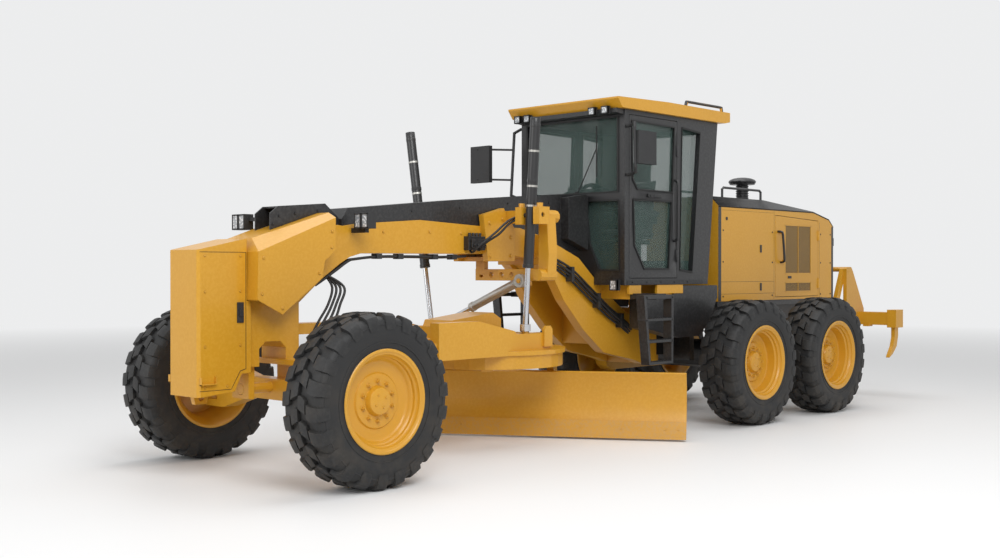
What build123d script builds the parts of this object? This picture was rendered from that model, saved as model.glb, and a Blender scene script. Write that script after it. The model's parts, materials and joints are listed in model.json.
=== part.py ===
from build123d import *
import math
import os

# Motor grader with a rear ripper: six wheels, hinged frame, turning blade circle under the front beam.
# Millimetres. +X is forward, +Y is the operator's left, +Z is up, the ground is Z = 0.
# Stations along X are written from the front axle, negative aft; save() shifts every piece so that the
# origin lies on the ground under the middle of the machine's length.

# ---- driving dimensions -------------------------------------------------------------------------
WHEELBASE = 6123            # front axle to the middle of the tandem
TANDEM_SPACING = 1594       # between the two rear axles
FRONT_TRACK = 2280
REAR_TRACK = 2268
NOSE_REACH = 881            # front axle to the front of the nose box
RIPPER_REACH = 9060         # front axle to the back of the ripper

TYRE_RADIUS = 665
TYRE_WIDTH = 444
LUG_DEPTH = 30
LUGS_A_SIDE = 12
LUG_WIDTH = 120             # measured round the tread
LUG_SLANT = 24              # degrees
ROUND_SIDES = 18            # flat sides of cylinders and rods that show
RING_SIDES = 32             # flat sides of the blade circle and the plate over it
PIN_SIDES = 10              # flat sides of pins, bosses and their bores
WHEEL_FACETS = 16           # flat sides that stand for each round of a rim or tyre
RIM_SEAT_RADIUS = 318
RIM_FLANGE_RADIUS = 366
RIM_WIDTH = 418
RIM_WALL = 16
FRONT_DISC_INSET = 115      # rim flange to the face of the disc
REAR_DISC_INSET = 172
HUB_RADIUS = 128
HUB_DEPTH = 90              # disc face to the back of the hub
SPINDLE_RADIUS = 42
SPINDLE_DEPTH = 60

FIT = 0.05                  # radial clearance of a pin or shaft in its bore
RUNNING_GAP = 6             # clearance between pieces that pass each other
SEAT_GAP = 0.3              # gap between pieces that rest against each other across a joint

KINGPIN_Y = 920
KINGPIN_RADIUS = 55
KNUCKLE_HEIGHT = 260
AXLE_EAR = 60               # thickness of the ears above and below the knuckle
AXLE_HALF_DEPTH = 75        # fore and aft
AXLE_PIN_REAR = -124        # rear end of the pin that the axle rocks on
AXLE_PIN_RADIUS = 45
STEER_ARM = 215

NOSE_HALF_WIDTH = 205
TOW_EYE = (740, 655)        # X, Z
TOW_EYE_RADIUS = 25
TOW_EYE_WIDTH = 50
COVER_HALF_WIDTH = 349
RIDGE_HALF_WIDTH = 166
COVER_WALL = 8
BEAM_HALF_WIDTH = 166
HOSE_COVER_HALF_WIDTH = 150
# top edge of the beam under the hose cover; columns: X, Z
BEAM_TOP = [(-550, 2018), (-680, 2039), (-1431, 2094), (-2197, 2060), (-2752, 2055), (-3300, 1930)]
RAIL_HALF_WIDTH = 300       # outside of the two rear legs of the front frame
RAIL_THICKNESS = 110

HITCH_X = -5050             # upright axis that the two frames bend about
HITCH_PIN_RADIUS = 50
HITCH_LUG_RADIUS = 120
HITCH_LUG = 60
HITCH_LOW_Z = 640           # underside of the lower lug
HITCH_HIGH_Z = 1240         # top of the upper lug

BALL_X = -450               # ball that the drawbar hangs from, behind the front axle
BALL_Z = 960
BALL_RADIUS = 70
SWIVEL_RISE = 95            # from the ball's middle to the boss above it
DRAWBAR_RAIL_Y = 600        # middle of the side rails
DRAWBAR_RAIL_WIDTH = 110
DRAWBAR_LOW_Z = 915
DRAWBAR_HIGH_Z = 1190
LIFT_PAD_Z = 1060           # top of the rails where the lift rods end
CIRCLE_X = -2450            # axis of the blade circle
CIRCLE_RADIUS = 740
CIRCLE_BORE = 590
CIRCLE_LOW_Z = 740
CIRCLE_DEPTH = 125
YOKE_RADIUS = 765           # round plate of the drawbar above the circle
YOKE_PLATE = 40

BLADE_ANGLE = 32.1          # degrees that the blade is turned from square across
BLADE_LENGTH = 3658
BLADE_OFFSET = 72           # side shift of the blade's middle from the circle's axis
BLADE_BACK = 254            # cutting edge behind the circle's axis
BLADE_LOW_Z = 20
EDGE_HEIGHT = 178
EDGE_PLATE = 22
BLADE_HEIGHT = 645
BLADE_PLATE = 25
BLADE_BOW = 118
END_PLATE = 90              # width of the plate at each end of the blade
SLIDE_HALF = 1450
SLIDE_GAP = 1
PITCH_BACK = 450            # pitch pivot of the blade carrier, behind the circle's axis
PITCH_Z = 200
PITCH_PIN_RADIUS = 22
ARM_Y = 560                 # middle of the circle's two arms
ARM_WIDTH = 70

SADDLE_X = -2550            # middle of the saddle's arms
SADDLE_FACE_X = -2410       # front ends of its bosses
SADDLE_SHIFT = -50          # the saddle's arms are locked this far to the right
CYLINDER_X = -2320
CYLINDER_Y = 750            # trunnions from the saddle's own middle
EYE_Y = 630                 # rod ends, and the swing pins of the cylinders' yokes above them
LIFT_PAD_RADIUS = 26
TRUNNION_Z = 2150
EYE_Z = 1110
LIFT_BARREL_RADIUS = 47
LIFT_ROD_RADIUS = 25
LIFT_BARREL_ABOVE = 895     # barrel's length above and below its trunnion
LIFT_BARREL_BELOW = 486
TRUNNION_RADIUS = 22
YOKE_HALF = 150             # half width of the frame that holds a lift cylinder
YOKE_PIN_RADIUS = 32
SHIFT_X = -2430
SHIFT_TOP = (470, 1545)     # centre-shift cylinder's pivot at the saddle: Y, Z
SHIFT_FOOT = (-490, 1155)   # and its rod's eye on the drawbar
SHIFT_PIN_RADIUS = 25
SHIFT_BUSH_RADIUS = 38
SHIFT_BARREL_RADIUS = 42
SHIFT_BARREL_LENGTH = 700
SHIFT_ROD_RADIUS = 24
LINK_BAR_Z = 1600
LINK_BAR_X = (-2540, -2487)   # back and front of the locked link bar

CAB_FRONT_X = -3720
CAB_REAR_X = -5380
CAB_REAR_FOOT_X = -5190
CAB_HALF_WIDTH = 700
CAB_FLOOR_Z = 1495
CAB_TOP_Z = 3262
CAB_WALL = 50
ROOF_FRONT_X = -3558
ROOF_REAR_X = -5560
ROOF_HALF_WIDTH = 745
ROOF_DEPTH = 105
DOOR_FRONT_X = -3790
DOOR_REAR_X = -4620
DOOR_LOW_Z = 1560
DOOR_HIGH_Z = 3215
DOOR_GAP = 6
HINGE_RADIUS = 18            # knuckles of the doors' hinges
HINGE_PIN_RADIUS = 8
HINGE_HALF = 60              # length of each knuckle
HINGE_ROOM = 3               # clearance round a knuckle
DOOR_HINGES = (1800, 2900)
GLASS = 8

HOOD_FRONT_X = -5700
HOOD_REAR_X = -8300
HOOD_HALF_WIDTH = 500
HOOD_LOW_Z = 1290
HOOD_SHOULDER_Z = 2375
HOOD_TOP_Z = 2486
HOOD_WALL = 30
ENGINE_DOOR_FRONT_X = -6930
ENGINE_DOOR_REAR_X = -7960
ENGINE_DOOR_LOW_Z = 1320
ENGINE_DOOR_HIGH_Z = 2310
ENGINE_DOOR_DROP = 40        # fall of the door's top edge towards its rear
ENGINE_DOOR_HINGES = (1480, 2080)
GRILLE_DEPTH = 8

REAR_RAIL_Y = 290
TANDEM_CASE_Y = 770
TANDEM_CASE_WIDTH = 160
TANDEM_CASE_RADIUS = 190
TANK_INNER_Y = 490          # clear of the rear frame when the machine bends
TANK_OUTER_Y = 690
HEAD_LAMP_WIDTH = 90
HEAD_LAMP_HEIGHT = 130
HEAD_LAMP_DEPTH = 90
# columns: middle of a pair of head lamps (X, Y, Z), face its bracket meets (Y), bracket's low and high (X, Z)
HEAD_LAMPS = [
    (-640, 350, 2057, BEAM_HALF_WIDTH + SEAT_GAP, -680, -640, 1960, 2000),
    (96, -350, 2044, -108 - SEAT_GAP, 60, 100, 2050, 2080),
]
RIPPER_X = -8420            # front pivots of the ripper's links
RIPPER_UPPER_Z = 1250
RIPPER_LOWER_Z = 750
RIPPER_LINK = 430
RIPPER_RAISED = 66          # degrees that the links stand above level when raised
RIPPER_PIN_RADIUS = 25
RIPPER_ROD_RADIUS = 24
RIPPER_BEAM_HALF = 1100
RIPPER_BEAM_LOW_Z = 935
RIPPER_BEAM_HIGH_Z = 1100
RIPPER_FOOT = (-8440, 640)  # lower pivot of the ripper's cylinder: X, Z
SHANK_Y = (-1050, 0, 1050)
SHANK_THICKNESS = 50

# ---- values worked out from them ----------------------------------------------------------------
AXLE_Z = TYRE_RADIUS
FRONT_WHEEL_Y = FRONT_TRACK / 2
REAR_WHEEL_Y = REAR_TRACK / 2
FRONT_TANDEM_X = -WHEELBASE + TANDEM_SPACING / 2
REAR_TANDEM_X = -WHEELBASE - TANDEM_SPACING / 2
MIDDLE_SHIFT = (RIPPER_REACH - NOSE_REACH) / 2
CIRCLE_HIGH_Z = CIRCLE_LOW_Z + CIRCLE_DEPTH


# ---- helpers ------------------------------------------------------------------------------------
def box(x_low, x_high, y_low, y_high, z_low, z_high):
    """A block between two stations on each axis."""
    size = (x_high - x_low, y_high - y_low, z_high - z_low)
    return Pos(x_low, y_low, z_low) * Box(*size, align=(Align.MIN, Align.MIN, Align.MIN))


def side_plate(points, y_low, y_high):
    """A plate with an outline in X and Z, between two stations on Y."""
    face = Plane.XZ * Polygon(*points, align=None)
    return Pos(0, y_high, 0) * extrude(face, y_high - y_low, dir=(0, -1, 0))


def plan_plate(points, z_low, z_high):
    """A plate with an outline in X and Y, between two heights."""
    return Pos(0, 0, z_low) * extrude(Polygon(*points, align=None), z_high - z_low, dir=(0, 0, 1))


def cross_plate(points, x_low, x_high):
    """A plate with an outline in Y and Z, between two stations on X."""
    face = Plane.YZ * Polygon(*points, align=None)
    return Pos(x_low, 0, 0) * extrude(face, x_high - x_low, dir=(1, 0, 0))


def bar(start, end, radius):
    """A truly round bar from one point to another."""
    way = Vector(*end) - Vector(*start)
    along = Plane(origin=start, z_dir=way)
    return along * Cylinder(radius, way.length, align=(Align.CENTER, Align.CENTER, Align.MIN))


def boss(start, end, radius, sides=PIN_SIDES, turn=0):
    """A pin or boss in flat sides from one point to another."""
    way = Vector(*end) - Vector(*start)
    along = Plane(origin=start, z_dir=way)
    return extrude(along * RegularPolygon(radius, sides, rotation=turn), way.length)


def bore(start, end, radius, sides=PIN_SIDES):
    """The room for a pin of this radius to turn in, past both ends; the pin's corners face its flats."""
    way = (Vector(*end) - Vector(*start)).normalized()
    outside = (radius + FIT) / math.cos(math.pi / sides)
    return boss(Vector(*start) - way, Vector(*end) + way, outside, sides, 180 / sides)


def tube(points, radius):
    """A thin bent bar of six-sided section through a few points."""
    runs = []
    last = len(points) - 2
    for k, (start, end) in enumerate(zip(points, points[1:])):
        way = Vector(*end) - Vector(*start)
        before = 0 if k == 0 else radius / 2
        after = 0 if k == last else radius / 2
        along = Plane(origin=Vector(*start) - way.normalized() * before, z_dir=way)
        runs.append(extrude(along * RegularPolygon(radius, 6), way.length + before + after))
    return join(*runs)


def turned(outline, sides):
    """A flat-sided solid of revolution round the Y axis; outline rows are radius, distance along Y."""
    angles = [2 * math.pi * (k + 0.5) / sides for k in range(sides)]
    faces = []
    closed = list(zip(outline, outline[1:] + outline[:1]))
    for (r1, y1), (r2, y2) in closed:
        for start, end in zip(angles, angles[1:] + angles[:1]):
            corners = []
            for radius, y, angle in ((r1, y1, start), (r2, y2, start), (r2, y2, end), (r1, y1, end)):
                corner = Vector(radius * math.sin(angle), y, radius * math.cos(angle))
                if not corners or (corner - corners[-1]).length > 1e-6:
                    corners.append(corner)
            if (corners[0] - corners[-1]).length < 1e-6:
                corners.pop()
            if len(corners) > 2:
                faces.append(Face(Wire.make_polygon(corners)))
    return Solid(Shell(faces))


def join(*pieces):
    """One solid from pieces that meet."""
    return Part() + list(pieces)


def mirrored(piece):
    """The same piece on the machine's other side."""
    return mirror(piece, about=Plane.XZ)


def both_sides(piece):
    """A piece on the left and its mirror image on the right."""
    return join(piece, mirrored(piece))


def hinge_fixed(x, y, z):
    """The lower knuckle of a door's hinge with the pin that stands up from it."""
    knuckle = boss((x, y, z - HINGE_HALF), (x, y, z - SEAT_GAP), HINGE_RADIUS, 10)
    return join(knuckle, boss((x, y, z - 10), (x, y, z + HINGE_HALF), HINGE_PIN_RADIUS, 10))


def hinge_moving(x, y, z):
    """The upper knuckle, which turns with the door."""
    knuckle = boss((x, y, z), (x, y, z + HINGE_HALF), HINGE_RADIUS, 10)
    return knuckle - bore((x, y, z - 5), (x, y, z + HINGE_HALF + 5), HINGE_PIN_RADIUS, 10)


def hinge_room(x, y, low, high):
    """The room round a knuckle, cut from the panel that it passes."""
    return boss((x, y, low), (x, y, high), HINGE_RADIUS + HINGE_ROOM, 10)


def hinge_leaf(x, y, z):
    """The upper knuckle and the strap that ties it into the door."""
    strap = box(x + HINGE_RADIUS - 6, x + HINGE_RADIUS + 20, y - 14, y, z, z + HINGE_HALF)
    return join(hinge_moving(x, y, z), strap)


def hung(leaf, x, y, heights):
    """A door's leaf with its upper knuckles, and room for the lower ones."""
    for z in heights:
        room = hinge_room(x, y, z - HINGE_HALF - HINGE_ROOM, z + HINGE_HALF + HINGE_ROOM)
        leaf = join(leaf - room, hinge_leaf(x, y, z))
    return leaf


def save(name, *pieces):
    """Writes one node, shifted from the front axle's frame to the part's own."""
    solids = [solid for piece in pieces for solid in piece.solids()]
    whole = Pos(MIDDLE_SHIFT, 0, 0) * Compound(solids)
    export_step(whole, f"parts/{name}.step")


# ---- wheels -------------------------------------------------------------------------------------
def rim(disc_inset):
    """A dished rim round the Y axis, its outer flange towards +Y, with a bored hub behind its disc."""
    half = RIM_WIDTH / 2
    face = half - disc_inset
    seat, flange, inner = RIM_SEAT_RADIUS, RIM_FLANGE_RADIUS, RIM_SEAT_RADIUS - RIM_WALL
    # columns: radius, distance along the axle
    outline = [
        (inner, face), (inner, half - 30), (flange, half), (flange, half - 14), (seat, half - 34),
        (seat, 34 - half), (flange, 14 - half), (flange, -half), (inner, 30 - half), (inner, face - RIM_WALL),
    ]
    barrel = turned(outline, WHEEL_FACETS)
    disc = turned([(0, face - RIM_WALL), (0, face), (inner + 4, face), (inner + 4, face - RIM_WALL)], WHEEL_FACETS)
    cap = boss((0, face, 0), (0, face + 22, 0), 95)
    hub = boss((0, face - HUB_DEPTH, 0), (0, face - RIM_WALL, 0), HUB_RADIUS)
    room = bore((0, face - HUB_DEPTH, 0), (0, face - HUB_DEPTH + SPINDLE_DEPTH, 0), SPINDLE_RADIUS)
    return join(barrel, disc, cap, hub) - room


def tyre():
    """A lugged tyre round the Y axis that fits the rim's seat and flanges."""
    half = RIM_WIDTH / 2
    seat = RIM_SEAT_RADIUS + SEAT_GAP
    flange = RIM_FLANGE_RADIUS + SEAT_GAP
    body = TYRE_RADIUS - LUG_DEPTH
    bulge = TYRE_WIDTH / 2
    # columns: radius, distance along the axle
    outline = [
        (seat, half - 34.5), (flange, half - 14.5), (470, bulge), (body - 40, bulge - 20), (body, bulge - 70),
    ]
    other = [(radius, -along) for radius, along in reversed(outline)]
    whole = turned(outline + other, WHEEL_FACETS)
    slant = math.radians(LUG_SLANT)
    aside = LUG_WIDTH / 2 * math.cos(slant) + (bulge / 2 - 14) * math.sin(slant)
    tip = math.sqrt(TYRE_RADIUS ** 2 - aside ** 2)
    block = [(body - 60, 14), (tip, 14), (tip, bulge - 62), (body - 30, bulge - 24), (body - 60, bulge - 60)]
    lug = extrude(Polygon(*block, align=None), LUG_WIDTH / 2, both=True)
    slanted = Pos(0, bulge / 2, 0) * Rot(LUG_SLANT, 0, 0) * Pos(0, -bulge / 2, 0) * lug
    pitch = 360 / LUGS_A_SIDE
    lugs = []
    for k in range(LUGS_A_SIDE):
        lugs.append(Rot(0, k * pitch, 0) * slanted)
        lugs.append(Rot(0, (k + 0.5) * pitch, 0) * mirror(slanted, about=Plane.XZ))
    return join(whole, *lugs)


def wheels():
    """All six wheels, each a rim and a tyre; those on the right are mirror images."""
    left_tyre = tyre()
    # columns: name, station along X, distance from the middle, disc inset
    stations = [
        ("front", 0, FRONT_WHEEL_Y, FRONT_DISC_INSET),
        ("middle", FRONT_TANDEM_X, REAR_WHEEL_Y, REAR_DISC_INSET),
        ("rear", REAR_TANDEM_X, REAR_WHEEL_Y, REAR_DISC_INSET),
    ]
    for name, x, y, inset in stations:
        place = Pos(x, y, AXLE_Z)
        left_rim = rim(inset)
        save(f"tyre_{name}_left", place * left_tyre)
        save(f"tyre_{name}_right", mirrored(place * left_tyre))
        save(f"rim_{name}_left", place * left_rim)
        save(f"rim_{name}_right", mirrored(place * left_rim))


# ---- front axle and steering --------------------------------------------------------------------
def hub_back(wheel_y, inset):
    """Where a wheel's hub ends, towards the middle of the machine."""
    return wheel_y + RIM_WIDTH / 2 - inset - HUB_DEPTH


def stub(wheel_y, inset, root_y, x, neck_radius):
    """The neck and spindle that carry a left wheel, from their root outwards."""
    hub = hub_back(wheel_y, inset) - SEAT_GAP
    neck = boss((x, root_y, AXLE_Z), (x, hub, AXLE_Z), neck_radius)
    spindle = boss((x, hub, AXLE_Z), (x, hub + SPINDLE_DEPTH, AXLE_Z), SPINDLE_RADIUS)
    return join(neck, spindle)


def front_axle():
    """The axle beam with its ears, its fore and aft pivot pin and the lean bar above it."""
    low = AXLE_Z - KNUCKLE_HEIGHT / 2
    high = AXLE_Z + KNUCKLE_HEIGHT / 2
    half = AXLE_HALF_DEPTH
    ear_root = KINGPIN_Y - 150
    outline = [
        (ear_root, low - AXLE_EAR), (ear_root, high + AXLE_EAR), (ear_root - 90, high + AXLE_EAR),
        (300, AXLE_Z + 95), (-300, AXLE_Z + 95), (90 - ear_root, high + AXLE_EAR),
        (-ear_root, high + AXLE_EAR), (-ear_root, low - AXLE_EAR), (90 - ear_root, low - AXLE_EAR),
        (-300, AXLE_Z - 75), (300, AXLE_Z - 75), (ear_root - 90, low - AXLE_EAR),
    ]
    beam = cross_plate(outline, -half, half)
    ears = []
    for z in (low - AXLE_EAR, high):
        round_end = boss((0, KINGPIN_Y, z), (0, KINGPIN_Y, z + AXLE_EAR), half)
        ears.append(box(-half, half, ear_root - 20, KINGPIN_Y, z, z + AXLE_EAR))
        ears.append(round_end)
    room = bore((0, KINGPIN_Y, low - 200), (0, KINGPIN_Y, high + 200), KINGPIN_RADIUS * 0.6)
    ears = join(*ears) - room
    pin = boss((AXLE_PIN_REAR, 0, AXLE_Z + 30), (362, 0, AXLE_Z + 30), AXLE_PIN_RADIUS)
    lean_z = high + AXLE_EAR
    post = box(50, 100, ear_root - 80, ear_root - 10, lean_z - 150, lean_z + 85)
    foot = box(0, 100, ear_root - 80, ear_root - 10, lean_z - 60, lean_z)
    lean_bar = box(60, 95, -ear_root + 30, ear_root - 30, lean_z + 30, lean_z + 72)
    return join(beam, both_sides(ears), pin, both_sides(join(post, foot)), lean_bar)


def knuckle():
    """Left steering knuckle: kingpin, barrel, spindle and steering arm."""
    low = AXLE_Z - KNUCKLE_HEIGHT / 2
    high = AXLE_Z + KNUCKLE_HEIGHT / 2
    barrel = boss((0, KINGPIN_Y, low + SEAT_GAP), (0, KINGPIN_Y, high - SEAT_GAP), KINGPIN_RADIUS + 7)
    pin = boss((0, KINGPIN_Y, low - AXLE_EAR), (0, KINGPIN_Y, high + AXLE_EAR), KINGPIN_RADIUS * 0.6)
    axle_stub = stub(FRONT_WHEEL_Y, FRONT_DISC_INSET, KINGPIN_Y, 0, 80)
    arm = box(-STEER_ARM, 0, KINGPIN_Y - 30, KINGPIN_Y + 30, AXLE_Z - 60, AXLE_Z - 20)
    eye = boss((-STEER_ARM, KINGPIN_Y, AXLE_Z - 60), (-STEER_ARM, KINGPIN_Y, AXLE_Z - 20), 36)
    return join(barrel, pin, axle_stub, arm, eye)


def tie_rod():
    """The bar that keeps both steering arms together, lying on top of their eyes."""
    z = AXLE_Z - 20 + SEAT_GAP
    bar = boss((-STEER_ARM, -KINGPIN_Y, z + 22), (-STEER_ARM, KINGPIN_Y, z + 22), 20, 8)
    end = boss((-STEER_ARM, KINGPIN_Y, z), (-STEER_ARM, KINGPIN_Y, z + 44), 34)
    return join(bar, both_sides(end))


# ---- front frame --------------------------------------------------------------------------------
def hitch_lugs():
    """The two bored lugs that hold the rear frame's upright pin."""
    lugs = []
    for z in (HITCH_LOW_Z, HITCH_HIGH_Z - HITCH_LUG):
        low = (HITCH_X, 0, z)
        high = (HITCH_X, 0, z + HITCH_LUG)
        plate = box(HITCH_X, -4700, -HITCH_LUG_RADIUS, HITCH_LUG_RADIUS, z, z + HITCH_LUG)
        lugs.append(join(plate, boss(low, high, HITCH_LUG_RADIUS)) - bore(low, high, HITCH_PIN_RADIUS))
    return join(*lugs)


def front_bolster():
    """The drop plate over the axle with its arch, and the two hangers of the axle's pin."""
    outline = [
        (402, 880), (402, 1500), (-90, 1500), (-90, 880), (40, 880), (40, 1020), (95, 1075),
        (240, 1075), (298, 1020), (298, 880),
    ]
    drop = side_plate(outline, -BEAM_HALF_WIDTH, BEAM_HALF_WIDTH)
    front = box(305, 362, -110, 110, AXLE_Z - 45, 900)
    back = box(AXLE_PIN_REAR + 6, -AXLE_HALF_DEPTH - SEAT_GAP, -110, 110, AXLE_Z - 45, 950)
    bridge = box(AXLE_PIN_REAR + 6, -60, -110, 110, 880, 960)
    return join(drop, front, back, bridge) - bore((-400, 0, AXLE_Z + 30), (500, 0, AXLE_Z + 30), AXLE_PIN_RADIUS)


def swivel_head():
    """The boss under the frame's nose that the drawbar's swivel turns in."""
    base = BALL_Z + SWIVEL_RISE
    arm = box(BALL_X - 90, -60, -90, 90, base + 60, base + 150)
    head = boss((BALL_X, 0, base), (BALL_X, 0, base + 150), 90)
    return join(arm, head) - bore((BALL_X, 0, base - 10), (BALL_X, 0, base + 110), BALL_RADIUS / 2)


def main_frame():
    """The raised beam, the bolster over the axle, the two rear legs and the hitch lugs."""
    beam_side = [
        (402, 1380), (402, 1760), (-330, 2040), *BEAM_TOP, (-3300, 1560), (-2900, 1760),
        (-2469, 1800), (-959, 1792), (-746, 1788), (-625, 1757), (-517, 1698), (-336, 1581), (-90, 1380),
    ]
    beam = side_plate(beam_side, -BEAM_HALF_WIDTH, BEAM_HALF_WIDTH)
    leg_side = [
        (-2900, 1775), (-2900, 1990), (-3483, 1768), (-3885, 1439), (-4221, 1223), (-4560, 1060),
        (-4800, 1040), (-4800, 640), (-4560, 640), (-4400, 690), (-3885, 795), (-3562, 1035), (-3250, 1346), (-3050, 1640),
    ]
    inner = RAIL_HALF_WIDTH - RAIL_THICKNESS
    legs = both_sides(side_plate(leg_side, inner, RAIL_HALF_WIDTH))
    ties = [
        box(-3250, -2910, -RAIL_HALF_WIDTH + 20, RAIL_HALF_WIDTH - 20, 1700, 1840),
        box(-3950, -3800, -inner - 10, inner + 10, 880, 1380),
        box(-4800, -4560, -inner - 10, inner + 10, HITCH_LOW_Z, 1000),
        box(-4800, -4560, -RAIL_HALF_WIDTH, RAIL_HALF_WIDTH, 940, HITCH_HIGH_Z),
    ]
    riggers = []
    for x in (-3900, -4510):
        riggers.append(box(x - 60, x + 60, -660, 660, 1350, CAB_FLOOR_Z - SEAT_GAP))
        riggers.append(both_sides(box(x - 60, x + 60, inner, RAIL_HALF_WIDTH, 1100, 1400)))
    whole = join(beam, front_bolster(), swivel_head(), legs)
    return join(whole, *ties, *riggers, hitch_lugs())


def nose_box():
    """The ballast box hung in front of the bolster."""
    outline = [
        (NOSE_REACH, 675), (NOSE_REACH, 1800), (442, 1893), (442, 1405), (402 + SEAT_GAP, 1405),
        (402 + SEAT_GAP, 841), (490, 837), (553, 703),
    ]
    whole = side_plate(outline, -NOSE_HALF_WIDTH, NOSE_HALF_WIDTH)
    front = whole.faces().sort_by(Axis.X)[-1]
    whole = chamfer(front.edges().filter_by(Axis.Z), 22)
    tow_x, tow_z = TOW_EYE
    half = TOW_EYE_WIDTH / 2
    lug = side_plate([(tow_x - 90, 750), (tow_x + 90, 750), (tow_x + 50, tow_z - 50), (tow_x - 50, tow_z - 50)], -half, half)
    return join(whole, lug) - bar((tow_x, -half - 5, tow_z), (tow_x, half + 5, tow_z), TOW_EYE_RADIUS)


def gooseneck_cover():
    """The faceted cover over the beam's front, open below and behind, on four inner stays."""
    shape = [
        (433, 1788), (441, 1413), (203, 1294), (-192, 1582), (-216, 1719), (-327, 1807), (-328, 2120),
        (369, 1898),
    ]
    room = [(425, 1783), (425, 1000), (-600, 1000), (-600, 2198), (366, 1890)]
    edge = Vector(433, COVER_HALF_WIDTH, 1788)
    normal = (Vector(-133, COVER_HALF_WIDTH, 2002) - edge).cross(Vector(369, RIDGE_HALF_WIDTH, 1898) - edge)
    normal = normal.normalized() * (1 if normal.Z > 0 else -1)
    pieces = []
    for outline, half, inset in ((shape, COVER_HALF_WIDTH, 0), (room, COVER_HALF_WIDTH - COVER_WALL, COVER_WALL)):
        body = side_plate(outline, -half, half)
        slope = Plane(origin=edge - normal * inset, z_dir=normal)
        body = split(body, bisect_by=slope, keep=Keep.BOTTOM)
        other = Plane(origin=Vector(slope.origin.X, -slope.origin.Y, slope.origin.Z),
                      z_dir=Vector(normal.X, -normal.Y, normal.Z))
        pieces.append(split(body, bisect_by=other, keep=Keep.BOTTOM))
    shell = pieces[0] - pieces[1]
    stays = []
    for x in (-160, 180):
        stays.append(both_sides(box(x, x + 30, BEAM_HALF_WIDTH + SEAT_GAP, COVER_HALF_WIDTH - 4, 1640, 1680)))
    return join(shell, *stays)


def hose_cover():
    """The long cover over the beam's hoses, its cowl before the cab and the step plates at its front."""
    seat = [(x, z + SEAT_GAP) for x, z in reversed(BEAM_TOP)]
    outline = [
        (-550, 2078), (-615, 2172), (-960, 2205), (-1933, 2299), (-2753, 2367), (-3600, 2420),
        (-3690, 2405), (-3690, 1850), (-3345, 1850), *seat,
    ]
    half = HOSE_COVER_HALF_WIDTH
    cover = side_plate(outline, -half, half)
    cowl = side_plate([(-3690, 1850), (-3690, 2405), (-3640, 2418), (-3380, 2380), (-3380, 1960)], -255, 255)
    plate_side = [
        (150, 1969), (150, 2103), (72, 2164), (-407, 2203), (-556, 2082), (-556, 2021), (-334, 2042),
        (-334, 2123),
    ]
    plate = side_plate(plate_side, 96, 108)
    bridge = side_plate([(60, 2150), (60, 2158), (-400, 2196), (-400, 2188)], -100, 100)
    tie = box(-620, -500, -108, 108, 2040, 2080)
    return join(cover, cowl, both_sides(plate), bridge, tie)


# ---- blade suspension ---------------------------------------------------------------------------
def lift_saddle():
    """The casting round the beam with an arm for each lift cylinder and the locked link bar below."""
    inner = BEAM_HALF_WIDTH + SEAT_GAP
    x0, x1 = SADDLE_X - 60, SADDLE_X + 60
    cheek = side_plate([
        (-2610, 1730), (-2610, 2040), (-2455, 2236), (-2180, 2165), (-2240, 1730),
    ], inner, 230)
    strap = box(-2600, -2300, -230, 230, 1730, 1770)
    pieces = [both_sides(cheek), strap]
    for side in (1, -1):
        y = side * EYE_Y
        low_y, high_y = sorted((side * 200, y))
        pieces.append(box(x0, x1, low_y, high_y, TRUNNION_Z - 60, TRUNNION_Z + 60))
        pieces.append(boss((x0 - 130, y, TRUNNION_Z), (SADDLE_FACE_X, y, TRUNNION_Z), 62))
    left = CYLINDER_Y + SADDLE_SHIFT
    arm = [(left - 60, 1600), (left + 55, 1600), (left + 70, 1800), (left + 45, 2150), (left - 55, 2150)]
    pieces.append(cross_plate(arm, x0, x1))
    pieces.append(boss((x0 - 20, left, LINK_BAR_Z), (SADDLE_FACE_X, left, LINK_BAR_Z), 56))
    back, front = LINK_BAR_X
    bar = box(back, front, -180, left, LINK_BAR_Z - 55, LINK_BAR_Z + 55)
    for k in range(4):
        y = 300 - 134 * k
        bar = bar - boss((back - 50, y, LINK_BAR_Z), (front + 50, y, LINK_BAR_Z), 28, 8)
    hanger = box(back, front, -175, -60, LINK_BAR_Z, 1750)
    lug = box(back, front, SHIFT_TOP[0] - 45, SHIFT_TOP[0] + 45, SHIFT_TOP[1] - 45, LINK_BAR_Z)
    pin = boss((front - 20, *SHIFT_TOP), (SHIFT_X + 34, *SHIFT_TOP), SHIFT_PIN_RADIUS)
    whole = join(*pieces, bar, hanger, lug, pin)
    for y in (EYE_Y, -EYE_Y):
        whole = whole - bore((-2600, y, TRUNNION_Z), (-2390, y, TRUNNION_Z), YOKE_PIN_RADIUS)
    return whole


def lift_axis(side):
    """Trunnion and lower end of a lift cylinder; side is 1 on the left and -1 on the right."""
    top = Vector(CYLINDER_X, side * CYLINDER_Y + SADDLE_SHIFT, TRUNNION_Z)
    return top, Vector(CYLINDER_X, side * EYE_Y, EYE_Z)


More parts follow.
